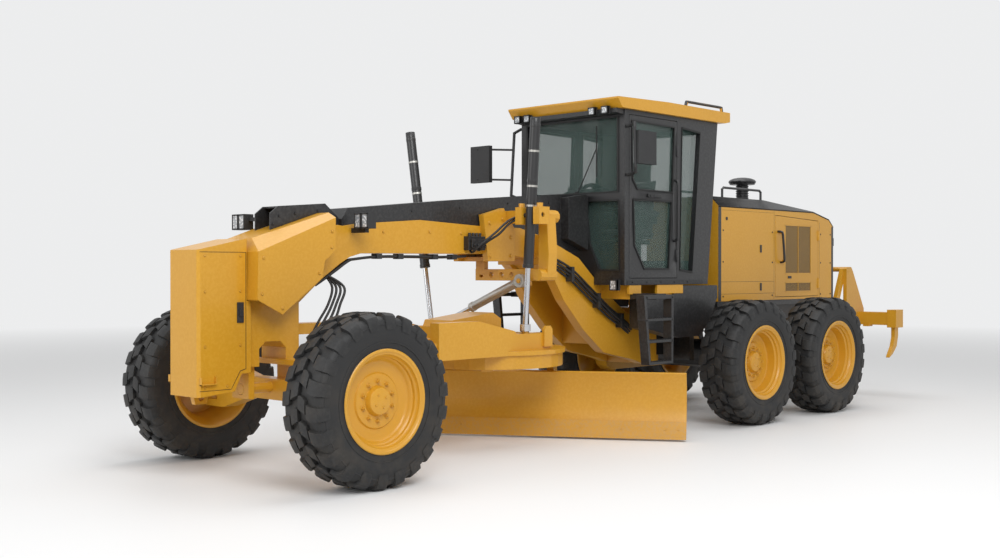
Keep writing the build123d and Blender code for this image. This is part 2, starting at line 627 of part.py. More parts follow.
def lift_yoke(side):
    """The frame that swings on the saddle's arm and holds a lift cylinder by its trunnions."""
    top, _ = lift_axis(side)
    x, y, z = top.X, top.Y, top.Z
    behind = LIFT_BARREL_RADIUS + 11
    beside = LIFT_BARREL_RADIUS + 25
    start = SADDLE_FACE_X + SEAT_GAP
    pivot = side * EYE_Y
    pin = boss((-2560, pivot, z), (start + 10, pivot, z), YOKE_PIN_RADIUS)
    back = box(start, x - behind, min(y - YOKE_HALF, pivot - 60), max(y + YOKE_HALF, pivot + 60), z - 70, z + 70)
    cheeks = []
    for low, high in ((y - YOKE_HALF, y - beside), (y + beside, y + YOKE_HALF)):
        middle = (low + high) / 2
        cheeks.append(box(start, x + 50, low, high, z - 85, z + 75))
        cheeks.append(boss((x, middle, z + 60), (x, middle, z + 110), 30, 10))
    room = bore((x, y - YOKE_HALF - 5, z), (x, y + YOKE_HALF + 5, z), TRUNNION_RADIUS)
    return join(pin, back, *cheeks) - room


def lift_barrel(side):
    """A lift cylinder's barrel with its trunnions, its clamp band and the bore for its rod."""
    top, eye = lift_axis(side)
    down = (eye - top).normalized()
    head = top - down * LIFT_BARREL_ABOVE
    foot = top + down * LIFT_BARREL_BELOW
    barrel = boss(head, foot, LIFT_BARREL_RADIUS, ROUND_SIDES)
    gland = boss(foot - down * 30, foot, LIFT_BARREL_RADIUS + 5)
    band = boss(top - down * 330, top - down * 300, LIFT_BARREL_RADIUS + 5)
    y0, y1 = top.Y - YOKE_HALF + 20, top.Y + YOKE_HALF - 20
    trunnion = boss((top.X, y0, top.Z), (top.X, y1, top.Z), TRUNNION_RADIUS)
    return join(barrel, gland, band, trunnion) - bore(head + down * 60, foot + down * 5, LIFT_ROD_RADIUS)


def lift_rod(side):
    """A lift cylinder's rod and the socket that rests over the drawbar's pad."""
    top, eye = lift_axis(side)
    down = (eye - top).normalized()
    shaft = boss(top - down * 250, eye, LIFT_ROD_RADIUS)
    x, y = eye.X, eye.Y
    socket = boss((x, y, LIFT_PAD_Z + 22 + SEAT_GAP), (x, y, EYE_Z + 35), 50)
    return join(shaft, socket)


def shift_axis():
    """Upper pivot and lower end of the centre-shift cylinder."""
    return Vector(SHIFT_X, *SHIFT_TOP), Vector(SHIFT_X, *SHIFT_FOOT)


def shift_bush():
    """The bush between the saddle's pin and the centre-shift cylinder's eye."""
    x0, x1 = SHIFT_X - 28, SHIFT_X + 28
    ring = boss((x0, *SHIFT_TOP), (x1, *SHIFT_TOP), SHIFT_BUSH_RADIUS)
    return ring - bore((x0, *SHIFT_TOP), (x1, *SHIFT_TOP), SHIFT_PIN_RADIUS)


def shift_barrel():
    """The centre-shift cylinder's barrel, hung on its eye."""
    top, foot = shift_axis()
    down = (foot - top).normalized()
    start = top + down * (SHIFT_BUSH_RADIUS + 20)
    end = top + down * SHIFT_BARREL_LENGTH
    barrel = boss(start, end, SHIFT_BARREL_RADIUS, ROUND_SIDES)
    eye = boss((SHIFT_X - 26, *SHIFT_TOP), (SHIFT_X + 26, *SHIFT_TOP), SHIFT_BUSH_RADIUS + 26)
    gland = boss(end - down * 28, end, SHIFT_BARREL_RADIUS + 5)
    bush_room = bore((SHIFT_X - 40, *SHIFT_TOP), (SHIFT_X + 40, *SHIFT_TOP), SHIFT_BUSH_RADIUS)
    return join(barrel, eye, gland) - bush_room - bore(start + down * 50, end + down * 5, SHIFT_ROD_RADIUS)


def shift_rod():
    """The centre-shift cylinder's rod with the eye that rests over the drawbar's shelf."""
    top, foot = shift_axis()
    down = (foot - top).normalized()
    shaft = boss(top + down * 376, foot, SHIFT_ROD_RADIUS)
    eye = boss((SHIFT_X - 26, *SHIFT_FOOT), (SHIFT_X + 26, *SHIFT_FOOT), 40)
    return join(shaft, eye)


# ---- drawbar, circle and blade ------------------------------------------------------------------
def drawbar_swivel():
    """The swivel that the drawbar's eyes hang on: an upright stud, a round body and a cross pin."""
    body = turned([(0, -62), (48, -62), (BALL_RADIUS, -20), (BALL_RADIUS, 20), (48, 62), (0, 62)], 12)
    body = Pos(BALL_X, 0, BALL_Z) * body
    stud = boss((BALL_X, 0, BALL_Z), (BALL_X, 0, BALL_Z + SWIVEL_RISE + 100), BALL_RADIUS / 2)
    pin = boss((BALL_X, -118, BALL_Z), (BALL_X, 118, BALL_Z), BALL_RADIUS / 2)
    return join(body, stud, pin)


def circle_shoe(angle):
    """A hook under the yoke plate that the circle's inner edge rides on."""
    hanger = box(560, 580, -55, 55, CIRCLE_LOW_Z - 30, CIRCLE_HIGH_Z + 10)
    foot = box(570, 612, -55, 55, CIRCLE_LOW_Z - 30, CIRCLE_LOW_Z - SEAT_GAP)
    return Pos(CIRCLE_X, 0, 0) * Rot(0, 0, angle) * join(hanger, foot)


def drawbar():
    """The A-shaped bar from the swivel to the yoke plate over the circle, with the lift pads."""
    half = DRAWBAR_RAIL_WIDTH / 2
    out, inn = DRAWBAR_RAIL_Y + half, DRAWBAR_RAIL_Y - half
    plate_low = CIRCLE_HIGH_Z + SEAT_GAP
    plate_high = plate_low + YOKE_PLATE
    eye = boss((BALL_X, 66, BALL_Z), (BALL_X, 112, BALL_Z), 80)
    room = bore((BALL_X, -200, BALL_Z), (BALL_X, 200, BALL_Z), BALL_RADIUS / 2)
    arm = plan_plate([(BALL_X - 20, 66), (BALL_X - 20, 112), (-600, 190), (-1240, out), (-1240, inn), (-620, 66)],
                     BALL_Z - 60, BALL_Z + 55)
    front = box(-680, -580, -120, 120, BALL_Z - 60, BALL_Z + 55)
    ring = Pos(CIRCLE_X, 0, plate_low) * extrude(RegularPolygon(YOKE_RADIUS, RING_SIDES), YOKE_PLATE)
    ring = ring - Pos(CIRCLE_X, 0, plate_low) * extrude(RegularPolygon(480, 16), 3 * YOKE_PLATE, both=True)
    rail_side = [
        (-1200, plate_low), (-1200, DRAWBAR_HIGH_Z), (-1700, DRAWBAR_HIGH_Z), (-2150, LIFT_PAD_Z + 30),
        (-2180, LIFT_PAD_Z), (-2600, LIFT_PAD_Z), (-2648, plate_high + 40), (-2648, plate_low),
    ]
    rail = side_plate(rail_side, inn, out)
    pad = boss((CYLINDER_X, EYE_Y, LIFT_PAD_Z - 20), (CYLINDER_X, EYE_Y, LIFT_PAD_Z + 22), LIFT_PAD_RADIUS)
    end = side_plate([(-2535, 930), (-2535, 1095), (-2565, 1125), (-2620, 1125), (-2650, 1095), (-2650, 930)],
                     out - 8, out + 22)
    ties = [
        box(-1330, -1200, -out, out, plate_low, BALL_Z + 90),
        box(-1760, -1650, -out, out, plate_low, DRAWBAR_HIGH_Z - 60),
        box(-2520, -2420, -inn - 10, inn + 10, plate_low, LIFT_PAD_Z),
    ]
    shelf = box(SHIFT_X - 90, SHIFT_X + 70, SHIFT_FOOT[0] - 60, SHIFT_FOOT[0] + 60, plate_low, SHIFT_FOOT[1] - 40 - SEAT_GAP)
    beam = box(-2300, -2180, -inn - 10, inn + 10, plate_high - 10, 1020)
    cast = side_plate([(-1660, 1100), (-1700, 1189), (-2236, 1249), (-2344, 1189), (-2344, 1100)], -60, 300)
    cast_leg = box(-2300, -1700, 100, 200, 1000, 1110)
    motor = boss((-1900, -200, plate_low), (-1900, -200, 1120), 105)
    whole = join(both_sides(eye), both_sides(arm), front, ring, both_sides(rail), both_sides(pad), both_sides(end))
    shoes = [circle_shoe(angle) for angle in (45, 135, 225, 315)]
    return join(whole, *ties, shelf, beam, cast, cast_leg, motor, *shoes) - room


def blade_place(piece):
    """Puts a piece drawn with X ahead of the blade and Y along it into the machine's frame."""
    return Pos(CIRCLE_X, 0, 0) * Rot(0, 0, BLADE_ANGLE) * piece


def blade_circle():
    """The turning ring and its two arms down to the pitch pins."""
    ring = Pos(0, 0, CIRCLE_LOW_Z) * extrude(RegularPolygon(CIRCLE_RADIUS, RING_SIDES), CIRCLE_DEPTH)
    ring = ring - Pos(0, 0, CIRCLE_LOW_Z) * extrude(RegularPolygon(CIRCLE_BORE, RING_SIDES), 2 * CIRCLE_DEPTH, both=True)
    x = -PITCH_BACK
    outline = [
        (-345, CIRCLE_LOW_Z + 30), (-610, CIRCLE_LOW_Z + 30), (-640, 600), (-610, 380), (x - 60, 215),
        (x - 40, 160), (x + 20, 155), (x + 42, 190), (x + 30, 235), (x - 25, 290), (-490, 420), (-480, 600),
        (-400, 690),
    ]
    arm = side_plate(outline, ARM_Y - ARM_WIDTH / 2, ARM_Y + ARM_WIDTH / 2)
    room = bore((x, -800, PITCH_Z), (x, 800, PITCH_Z), PITCH_PIN_RADIUS)
    brace = box(-620, -560, -ARM_Y, ARM_Y, 560, 640)
    return blade_place(join(ring, both_sides(arm), brace) - room)


def blade_carrier():
    """The two brackets that tilt on the arms' pins and hold the blade's slide rails."""
    x = -PITCH_BACK
    low, high = ARM_Y - ARM_WIDTH / 2 - 105, ARM_Y - ARM_WIDTH / 2 - RUNNING_GAP
    lower, upper = -401 - SEAT_GAP, -432.3 - SEAT_GAP
    outline = [
        (-388, 175), (-388, 214), (lower, 214), (lower, 258), (-415, 300), (upper, 460), (upper, 511.3),
        (-410, 511.3), (-410, 540), (-478, 540), (-478, 350), (x - 45, 215), (x - 30, 160),
    ]
    bracket = side_plate(outline, low, high)
    pin = boss((x, low, PITCH_Z), (x, ARM_Y + ARM_WIDTH / 2, PITCH_Z), PITCH_PIN_RADIUS)
    tube = boss((-468, -low - 10, 330), (-468, low + 10, 330), 26, 8)
    return blade_place(join(both_sides(bracket), both_sides(pin), tube))


def blade_arc(start, middle, end):
    """One curved face of the blade, from three points ahead of the axis and up."""
    return ThreePointArc(*[Vector(x - BLADE_BACK, 0, z + BLADE_LOW_Z) for x, z in (start, middle, end)])


def blade_section():
    """The blade's curved section: a straight foot behind the cutting edge, then an arc."""
    front = blade_arc((-86, 165), (-136, 395), (-60, 645 - BLADE_LOW_Z))
    back = blade_arc((-82, 657 - BLADE_LOW_Z), (-161, 395.5), (-108, 153))
    foot_front = Vector(-46.5 - BLADE_BACK, 0, 60 + BLADE_LOW_Z)
    foot_back = Vector(-68.5 - BLADE_BACK, 0, 48 + BLADE_LOW_Z)
    lines = [
        Line(front @ 1, back @ 0), Line(back @ 1, foot_back), Line(foot_back, foot_front),
        Line(foot_front, front @ 0),
    ]
    return make_face([front, back, *lines])


def moldboard():
    """The curved blade with its two slide rails behind."""
    low, high = BLADE_OFFSET - BLADE_LENGTH / 2, BLADE_OFFSET + BLADE_LENGTH / 2
    plate = Pos(0, high, 0) * extrude(blade_section(), high - low, dir=(0, -1, 0))
    lower = box(-401, -376, -SLIDE_HALF, SLIDE_HALF, 214 + SLIDE_GAP, 256 - SLIDE_GAP)
    upper = box(-432.3, -392, -SLIDE_HALF, SLIDE_HALF, 467 + SLIDE_GAP, 511 - SLIDE_GAP)
    return blade_place(join(plate, lower, upper))


def cutting_edge():
    """The flat edge bolted to the blade's foot."""
    low, high = BLADE_OFFSET - BLADE_LENGTH / 2, BLADE_OFFSET + BLADE_LENGTH / 2
    points = [(0, 0), (-62, 165), (-82.6, 157.3), (-24, 4)]
    edge = side_plate([(x - BLADE_BACK, z + BLADE_LOW_Z) for x, z in points], low, high)
    return blade_place(edge)


# ---- cab ----------------------------------------------------------------------------------------
FRONT_PANE = [(172, 2368), (628, 2359), (640, 1636), (370, 1636), (225, 1924)]
REAR_SIDE_PANE = [(-4705, 3161), (-5042, 3135), (-4893, 1613), (-4665, 1640)]
DOOR_UPPER_PANE = [(-3830, 3160), (-4575, 3150), (-4540, 2456), (-3925, 2456), (-3840, 2560)]
DOOR_LOWER_PANE = [(-3856, 2362), (-4527, 2369), (-4474, 1650), (-4040, 1650), (-3873, 1888)]


def grown(points, amount):
    """The same outline moved outwards from its middle."""
    middle_a = sum(a for a, _ in points) / len(points)
    middle_b = sum(b for _, b in points) / len(points)
    return [(a + math.copysign(amount, a - middle_a), b + math.copysign(amount, b - middle_b)) for a, b in points]


def cab_frame():
    """The hollow cab with its windows and door openings cut."""
    half = CAB_HALF_WIDTH
    outer = [
        (CAB_FRONT_X, CAB_FLOOR_Z), (CAB_FRONT_X, CAB_TOP_Z), (CAB_REAR_X, CAB_TOP_Z), (CAB_REAR_FOOT_X, CAB_FLOOR_Z),
    ]
    wall = CAB_WALL
    inner = [
        (CAB_FRONT_X - wall, CAB_FLOOR_Z + wall), (CAB_FRONT_X - wall, CAB_TOP_Z - wall),
        (CAB_REAR_X + wall + 5, CAB_TOP_Z - wall), (CAB_REAR_FOOT_X + wall - 5, CAB_FLOOR_Z + wall),
    ]
    shell = side_plate(outer, -half, half) - side_plate(inner, wall - half, half - wall)
    # the notch over the frame's legs
    shell = join(shell, box(-3885, CAB_FRONT_X, -345, 345, CAB_FLOOR_Z, 1640))
    shell = shell - box(-3840, CAB_FRONT_X + 10, -306, 306, CAB_FLOOR_Z - 10, 1600)
    visor = side_plate([(-3730, 3205), (-3730, CAB_TOP_Z), (-3600, CAB_TOP_Z), (-3600, 3218)], -690, 690)
    shell = join(shell, visor)
    shell = shell - box(-3790, -3700, -628, 628, 2430, 3195)
    low_pane = cross_plate(FRONT_PANE, -3800, -3700)
    door = box(DOOR_REAR_X, DOOR_FRONT_X, half - 100, half + 60, DOOR_LOW_Z, DOOR_HIGH_Z)
    side_pane = side_plate(REAR_SIDE_PANE, half - 100, half + 60)
    for cut in (low_pane, door, side_pane):
        shell = shell - cut - mirrored(cut)
    shell = shell - box(-5500, -5150, -560, 560, 1750, 3150)
    for z in DOOR_HINGES:
        room = hinge_room(DOOR_REAR_X, half, z - SEAT_GAP, z + HINGE_HALF + HINGE_ROOM)
        fixed = hinge_fixed(DOOR_REAR_X, half, z)
        shell = join(shell - room - mirrored(room), both_sides(fixed))
    return shell


def cab_roof():
    """The sloped roof slab with its lip over the visor and the grab rail on its left edge."""
    low = CAB_TOP_Z + SEAT_GAP
    outline = [
        (ROOF_FRONT_X, low + 88), (ROOF_FRONT_X, low + ROOF_DEPTH), (-4400, low + ROOF_DEPTH + 22),
        (ROOF_REAR_X, low + ROOF_DEPTH + 18), (ROOF_REAR_X, low + 20), (-5460, low), (ROOF_FRONT_X - 70, low),
    ]
    slab = side_plate(outline, -ROOF_HALF_WIDTH, ROOF_HALF_WIDTH)
    rail = tube([(-4772, 700, 3370), (-4800, 700, 3440), (-5440, 700, 3440), (-5465, 700, 3370)], 14)
    return join(slab, rail)


def cab_glass():
    """The fixed panes, each seated on the inside of its opening."""
    inside = CAB_FRONT_X - CAB_WALL - SEAT_GAP
    front = box(inside - GLASS, inside, -642, 642, 2416, 3207)
    low = cross_plate([(158, 2382), (645, 2373), (648, 1622), (360, 1622), (211, 1922)], inside - GLASS, inside)
    wall_y = CAB_HALF_WIDTH - CAB_WALL - SEAT_GAP
    side = side_plate(grown(REAR_SIDE_PANE, 14), wall_y - GLASS, wall_y)
    back = side_plate([(-5164.7, 1735), (-5319.2, 3165), (-5311.2, 3165), (-5156.7, 1735)], -575, 575)
    return [front, low, mirrored(low), side, mirrored(side), back]


def cab_door():
    """Left door: a frame as thick as the wall with an upper and a lower pane let into it."""
    half, gap = CAB_HALF_WIDTH, DOOR_GAP
    leaf = box(DOOR_REAR_X + gap, DOOR_FRONT_X - gap, half - CAB_WALL, half, DOOR_LOW_Z + gap, DOOR_HIGH_Z - gap)
    middle = half - CAB_WALL / 2
    panes = []
    for outline in (DOOR_UPPER_PANE, DOOR_LOWER_PANE):
        leaf = leaf - side_plate(outline, half - 2 * CAB_WALL, half + CAB_WALL)
        panes.append(side_plate(grown(outline, 1), middle - GLASS / 2, middle + GLASS / 2))
    handle = box(-4300, -4080, half - 1, half + 32, 2392, 2424)
    grab = tube([(-4565, half, 1950), (-4565, half + 50, 1980), (-4565, half + 50, 2560), (-4565, half, 2590)], 12)
    return join(hung(leaf, DOOR_REAR_X, half, DOOR_HINGES), *panes, handle, grab)


def operator_seat():
    """The seat on its column, with arm rests and a head rest."""
    floor = CAB_FLOOR_Z + CAB_WALL + SEAT_GAP
    column = box(-4700, -4420, -170, 170, floor, 1960)
    cushion = box(-4840, -4340, -250, 250, 1960, 2090)
    back_side = [(-4840, 2000), (-4930, 2640), (-4850, 2655), (-4735, 2060)]
    back = side_plate(back_side, -235, 235)
    head = side_plate([(-4930, 2600), (-4955, 2850), (-4875, 2860), (-4845, 2600)], -150, 150)
    rest = box(-4830, -4480, 262, 330, 2230, 2290)
    stay = box(-4860, -4790, 235, 330, 2150, 2290)
    return join(column, cushion, back, head, both_sides(rest), both_sides(stay))


def control_console():
    """The steering console with its wheel, on the cab's floor."""
    floor = CAB_FLOOR_Z + CAB_WALL + SEAT_GAP
    post = side_plate([(-3895, floor), (-4080, floor), (-4150, 2350), (-3960, 2440), (-3900, 2380)], -95, 95)
    hood = side_plate([(-3850, 2380), (-4170, 2330), (-4180, 2400), (-3960, 2500), (-3850, 2460)], -210, 210)
    tilt = Pos(-4200, 0, 2450) * Rot(0, -28, 0)
    wheel = extrude(RegularPolygon(200, 16), 26) - extrude(RegularPolygon(168, 16), 26)
    spokes = join(Box(360, 36, 20), Box(36, 360, 20))
    hub = Pos(0, 0, -90) * extrude(RegularPolygon(34, 8), 110)
    pedals = both_sides(box(-4060, -3930, 85, 260, floor, floor + 60))
    return join(post, hood, tilt * join(wheel, Pos(0, 0, 13) * spokes, hub), pedals)


def mirrors():
    """Both mirrors on their bent tubes from the cab's front corners."""
    wall = CAB_HALF_WIDTH + SEAT_GAP
    left = tube([
        (-3752, wall, 3090), (-3752, 740, 3090), (-3575, 935, 3090), (-3555, 950, 3040), (-3570, 950, 2655),
        (-3600, 930, 2610), (-3752, 740, 2601), (-3752, wall, 2601),
    ], 16)
    head = box(-3860, -3570, 938, 990, 2690, 3015)
    right = tube([
        (-3752, -wall, 3170), (-3752, -740, 3170), (-3690, -780, 3127), (-3640, -780, 2451), (-3752, -740, 2410),
        (-3752, -wall, 2410),
    ], 16)
    arms = [tube([(-3665, -780, z), (-3420, -1080, z + 10)], 12) for z in (2945, 2620)]
    right_head = box(-3470, -3420, -1180, -900, 2590, 2985)
    return [join(left, head), join(right, *arms, right_head)]


def head_lamps():
    """The two pairs of lamps beside the beam's front, each on its own bracket."""
    pairs = []
    # columns: lamps' middle (X, Y, Z), face that the bracket meets (Y), bracket's low and high (X, Z)
    for x, y, z, meet, x0, x1, z0, z1 in HEAD_LAMPS:
        low_y, high_y = sorted((meet, y))
        bracket = box(x0, x1, low_y, high_y, z0, z1)
        half = HEAD_LAMP_WIDTH / 2
        lamps = [
            box(x - HEAD_LAMP_DEPTH / 2, x + HEAD_LAMP_DEPTH / 2, y + k * half - half + 4, y + k * half + half - 4,
                z - HEAD_LAMP_HEIGHT / 2, z + HEAD_LAMP_HEIGHT / 2)
            for k in (-1, 1)
        ]
        pairs.append(join(bracket, *lamps, box(x - 20, x, y - half, y + half, z - 20, z + 20)))
    return pairs


def work_lamps():
    """The head lamps, four lamps under the roof's lip and two at the cab's feet."""
    lamps = [box(-3599.7, -3550, y - 42, y + 42, 3205, 3285) for y in (573, 406, -476, -610)]
    for side in (1, -1):
        y = side * 600
        lamps.append(box(-3719.7, -3660, y - 45, y + 45, 1440, 1550))
    return lamps + head_lamps()


def side_steps():
    """The boarding ladder on each side, hung under the cab's foot."""
    y0, y1 = 930, 1030
    front = side_plate([(-3600, 1400), (-3690, 710), (-3720, 710), (-3640, 1400)], y0, y1)
    back = side_plate([(-4060, 1400), (-4060, 710), (-4090, 710), (-4100, 1400)], y0, y1)
    top = box(-4090, -3610, y0, y1, 1360, 1400)
    treads = []
    for k in range(3):
        z = 712 + 215 * k
        front_x = -3690 + 0.14 * (z - 710)
        treads.append(box(-4080, front_x, y0, y1, z, z + 24))
    hanger = box(-4020, -3860, 660 + SEAT_GAP, y0 + 60, 1351, 1410)
    return join(front, back, top, *treads, hanger)


def belly_tanks():
    """The fuel tank on the left and the oil tank on the right, under the cab."""
    outline = [
        (-4074, 1345), (-5391, 1345), (-5371, 1315), (-5274, 1120), (-5043, 935), (-4672, 930), (-4074, 1050),
    ]
    tank = side_plate(outline, TANK_INNER_Y, TANK_OUTER_Y)
    stay = box(-4700, -4580, RAIL_HALF_WIDTH + SEAT_GAP, TANK_INNER_Y + 10, 1000, 1100)
    skirt = side_plate([(-4580, 1340), (-5395, 1340), (-5391, 1480), (-4580, 1484)], 664, 690)
    return join(tank, stay, skirt)


# ---- rear frame ---------------------------------------------------------------------------------
def rear_frame():
    """The hitch column, the two rails, the axle housing and the ripper's brackets."""
    low, high = HITCH_LOW_Z + HITCH_LUG + SEAT_GAP, HITCH_HIGH_Z - HITCH_LUG - SEAT_GAP
    pin = boss((HITCH_X, 0, HITCH_LOW_Z), (HITCH_X, 0, HITCH_HIGH_Z), HITCH_PIN_RADIUS)
    column = boss((HITCH_X, 0, low), (HITCH_X, 0, high), 100)
    neck = box(-5320, HITCH_X, -90, 90, low, high)
    front = box(-5380, -5300, -390, 390, 640, 1240)
    rail = box(-8300, -5340, REAR_RAIL_Y - 60, REAR_RAIL_Y + 60, 980, 1250)
    ties = [box(x, x + 100, -REAR_RAIL_Y, REAR_RAIL_Y, 1000, 1200) for x in (-6400, -7300)]
    rear = box(-8310, -8230, -475, 475, 700, HOOD_LOW_Z - 20)
    case_y = TANDEM_CASE_Y - TANDEM_CASE_WIDTH / 2 - SEAT_GAP
    housing = boss((-WHEELBASE, -case_y, AXLE_Z), (-WHEELBASE, case_y, AXLE_Z), 165)
    pedestal = both_sides(box(-WHEELBASE - 160, -WHEELBASE + 160, REAR_RAIL_Y - 60, REAR_RAIL_Y + 60, 700, 1000))
    deck = both_sides(box(-8300, HOOD_FRONT_X, REAR_RAIL_Y, HOOD_HALF_WIDTH - 10, 1230, HOOD_LOW_Z - SEAT_GAP))
    bracket_side = [
        (-8240, 720), (-8240, 1269), (-8360, 1269), (RIPPER_X - 20, RIPPER_UPPER_Z + 36),
        (RIPPER_X - 40, RIPPER_UPPER_Z), (RIPPER_X - 40, RIPPER_LOWER_Z), (RIPPER_X, RIPPER_LOWER_Z - 42),
    ]
    bracket = side_plate(bracket_side, 420, 475)
    for z in (RIPPER_UPPER_Z, RIPPER_LOWER_Z):
        bracket = bracket - bore((RIPPER_X, 400, z), (RIPPER_X, 500, z), RIPPER_PIN_RADIUS)
    foot_x, foot_z = RIPPER_FOOT
    foot = side_plate([(-8240, 780), (-8240, 600), (foot_x - 40, foot_z - 40), (foot_x - 40, foot_z + 30)], 36, 60)
    foot = foot - bore((foot_x, 20, foot_z), (foot_x, 80, foot_z), RIPPER_PIN_RADIUS)
    whole = join(pin, column, neck, front, both_sides(rail), *ties, rear, housing, pedestal, deck)
    return join(whole, both_sides(bracket), both_sides(foot))


def tandem_cases():
    """The two chain cases, each with the stubs of its middle and rear wheel."""
    y0 = TANDEM_CASE_Y - TANDEM_CASE_WIDTH / 2
    y1 = TANDEM_CASE_Y + TANDEM_CASE_WIDTH / 2
    ends = []
    for k in range(12):
        angle = math.radians(15 + 30 * k)
        x = math.copysign(TANDEM_SPACING / 2, math.cos(angle)) + TANDEM_CASE_RADIUS * math.cos(angle)
        ends.append((x - WHEELBASE, AXLE_Z + TANDEM_CASE_RADIUS * math.sin(angle)))
    case = side_plate(ends, y0, y1)
    stubs = [stub(REAR_WHEEL_Y, REAR_DISC_INSET, y1 - 10, x, 90) for x in (FRONT_TANDEM_X, REAR_TANDEM_X)]
    left = join(case, *stubs)
    return [left, mirrored(left)]


def hood():
    """The engine hood: a shell with an opening for each engine door and a slatted rear."""
    outline = [
        (HOOD_FRONT_X, HOOD_LOW_Z), (HOOD_FRONT_X, HOOD_TOP_Z), (-6820, HOOD_TOP_Z), (-7840, 2378),
        (-8231, 2295), (-8345, 2205), (-8345, HOOD_LOW_Z),
    ]
    wall = HOOD_WALL
    room = [
        (HOOD_FRONT_X - wall, HOOD_LOW_Z - 50), (HOOD_FRONT_X - wall, HOOD_TOP_Z - wall), (-6820, HOOD_TOP_Z - wall),
        (-7835, 2348), (-8220, 2266), (-8315, 2195), (-8315, HOOD_LOW_Z - 50),
    ]
    half = HOOD_HALF_WIDTH
    solid = side_plate(outline, -half, half)
    inside = side_plate(room, wall - half, half - wall)
    edge = Vector(0, half, HOOD_SHOULDER_Z)
    normal = Vector(0, HOOD_TOP_Z - HOOD_SHOULDER_Z, 110).normalized()
    for side in (1, -1):
        turned_normal = Vector(0, side * normal.Y, normal.Z)
        at = Vector(0, side * edge.Y, edge.Z)
        solid = split(solid, bisect_by=Plane(origin=at, z_dir=turned_normal), keep=Keep.BOTTOM)
        inside = split(inside, bisect_by=Plane(origin=at - turned_normal * wall, z_dir=turned_normal), keep=Keep.BOTTOM)
    shell = solid - inside
    door = side_plate(engine_door_outline(0), half - 80, half + 20)
    shell = shell - door - mirrored(door) - box(-8400, -8280, -400, 400, 1400, 2120)
    slats = [box(-8340, -8318, -405, 405, 1440 + 100 * k, 1480 + 100 * k) for k in range(7)]
    shell = join(shell, *slats)
    for z in ENGINE_DOOR_HINGES:
        room = hinge_room(ENGINE_DOOR_REAR_X, half, z - SEAT_GAP, z + HINGE_HALF + HINGE_ROOM)
        fixed = hinge_fixed(ENGINE_DOOR_REAR_X, half, z)
        shell = join(shell - room - mirrored(room), both_sides(fixed))
    return shell


def engine_door_outline(inset):
    """The engine door's outline, drawn in by a gap."""
    front, rear = ENGINE_DOOR_FRONT_X - inset, ENGINE_DOOR_REAR_X + inset
    low, high = ENGINE_DOOR_LOW_Z + inset, ENGINE_DOOR_HIGH_Z - inset
    return [(front, low), (front, high), (rear, high - ENGINE_DOOR_DROP), (rear, low)]


def engine_door():
    """Left engine door, as thick as the hood's wall, with its bar handle."""
    half, gap = HOOD_HALF_WIDTH, DOOR_GAP
    leaf = side_plate(engine_door_outline(gap), half - HOOD_WALL, half)
    for low, high in ((1380, 1500), (1600, 2200)):
        leaf = leaf - box(ENGINE_DOOR_REAR_X + 180, ENGINE_DOOR_FRONT_X - 230, half - GRILLE_DEPTH, half + 1, low, high)
    x = ENGINE_DOOR_FRONT_X - 60
    handle = tube([(x, half - 2, 2110), (x - 20, half + 55, 2090), (x - 60, half + 55, 1770), (x - 60, half - 2, 1740)], 13)
    return join(hung(leaf, ENGINE_DOOR_REAR_X, half, ENGINE_DOOR_HINGES), handle)


def engine_block():
    """The engine as one plain block on the rails, and the radiator behind it."""
    block = box(-7700, -6000, -280, 280, 1250 + SEAT_GAP, 2060)
    radiator = box(-8240, -8130, -400, 400, HOOD_LOW_Z, 2130)
    return [block, radiator]


def hood_fittings():
    """The air pre-cleaner, the exhaust, the grab rails and the tail lamps on the hood."""
    z = HOOD_TOP_Z + SEAT_GAP
    stem = boss((-6860, 80, z), (-6860, 80, 2700), 68)
    cap = turned([(0, 2690), (150, 2690), (165, 2720), (110, 2765), (0, 2775)], 16)
    cap = Pos(-6860, 80, 0) * Rot(90, 0, 0) * cap
    exhaust = boss((-6500, -200, z), (-6500, -200, 2920), 62)
    rail = tube([(-5970, 374, z), (-5970, 374, 2580), (-6000, 374, 2600), (-6770, 374, 2600), (-6800, 374, 2580),
                 (-6800, 374, z)], 14)
    lamp = box(-8420, -8345 - SEAT_GAP, 330, 470, 1960, 2060)
    foot = box(-6560, -6440, -260, -140, z, z + 20)
    return [join(stem, cap), join(exhaust, foot), rail, mirrored(rail), lamp, mirrored(lamp)]


# ---- ripper -------------------------------------------------------------------------------------
def link_end(z):
    """Where a ripper link that starts at this height ends while raised."""
    raised = math.radians(RIPPER_RAISED)
    return RIPPER_X - RIPPER_LINK * math.cos(raised), z + RIPPER_LINK * math.sin(raised)


def ripper_link(z):
    """Left link of a pair, with a pin at each end."""
    end_x, end_z = link_end(z)
    y0, y1 = 475 + SEAT_GAP, 530
    side = Vector(end_z - z, 0, RIPPER_X - end_x).normalized() * 38
    corners = [
        (RIPPER_X + side.X, z + side.Z), (end_x + side.X, end_z + side.Z),
        (end_x - side.X, end_z - side.Z), (RIPPER_X - side.X, z - side.Z),
    ]
    link = side_plate(corners, y0, y1)
    rounds = [boss((RIPPER_X, y0, z), (RIPPER_X, y1, z), 38, 12), boss((end_x, y0, end_z), (end_x, y1, end_z), 38, 12)]
    front_pin = boss((RIPPER_X, 420, z), (RIPPER_X, y1, z), RIPPER_PIN_RADIUS)
    back_pin = boss((end_x, y0, end_z), (end_x, 580, end_z), RIPPER_PIN_RADIUS)
    return join(link, *rounds, front_pin, back_pin)


def shank(y):
    """A curved ripper shank with its point."""
    outline = [
        (-8905, 1130), (-8995, 1130), (-9000, 800), (-8960, 665), (-8850, 570), (-8755, 525), (-8775, 560),
        (-8860, 665), (-8903, 780),
    ]
    return side_plate(outline, y - SHANK_THICKNESS / 2, y + SHANK_THICKNESS / 2)


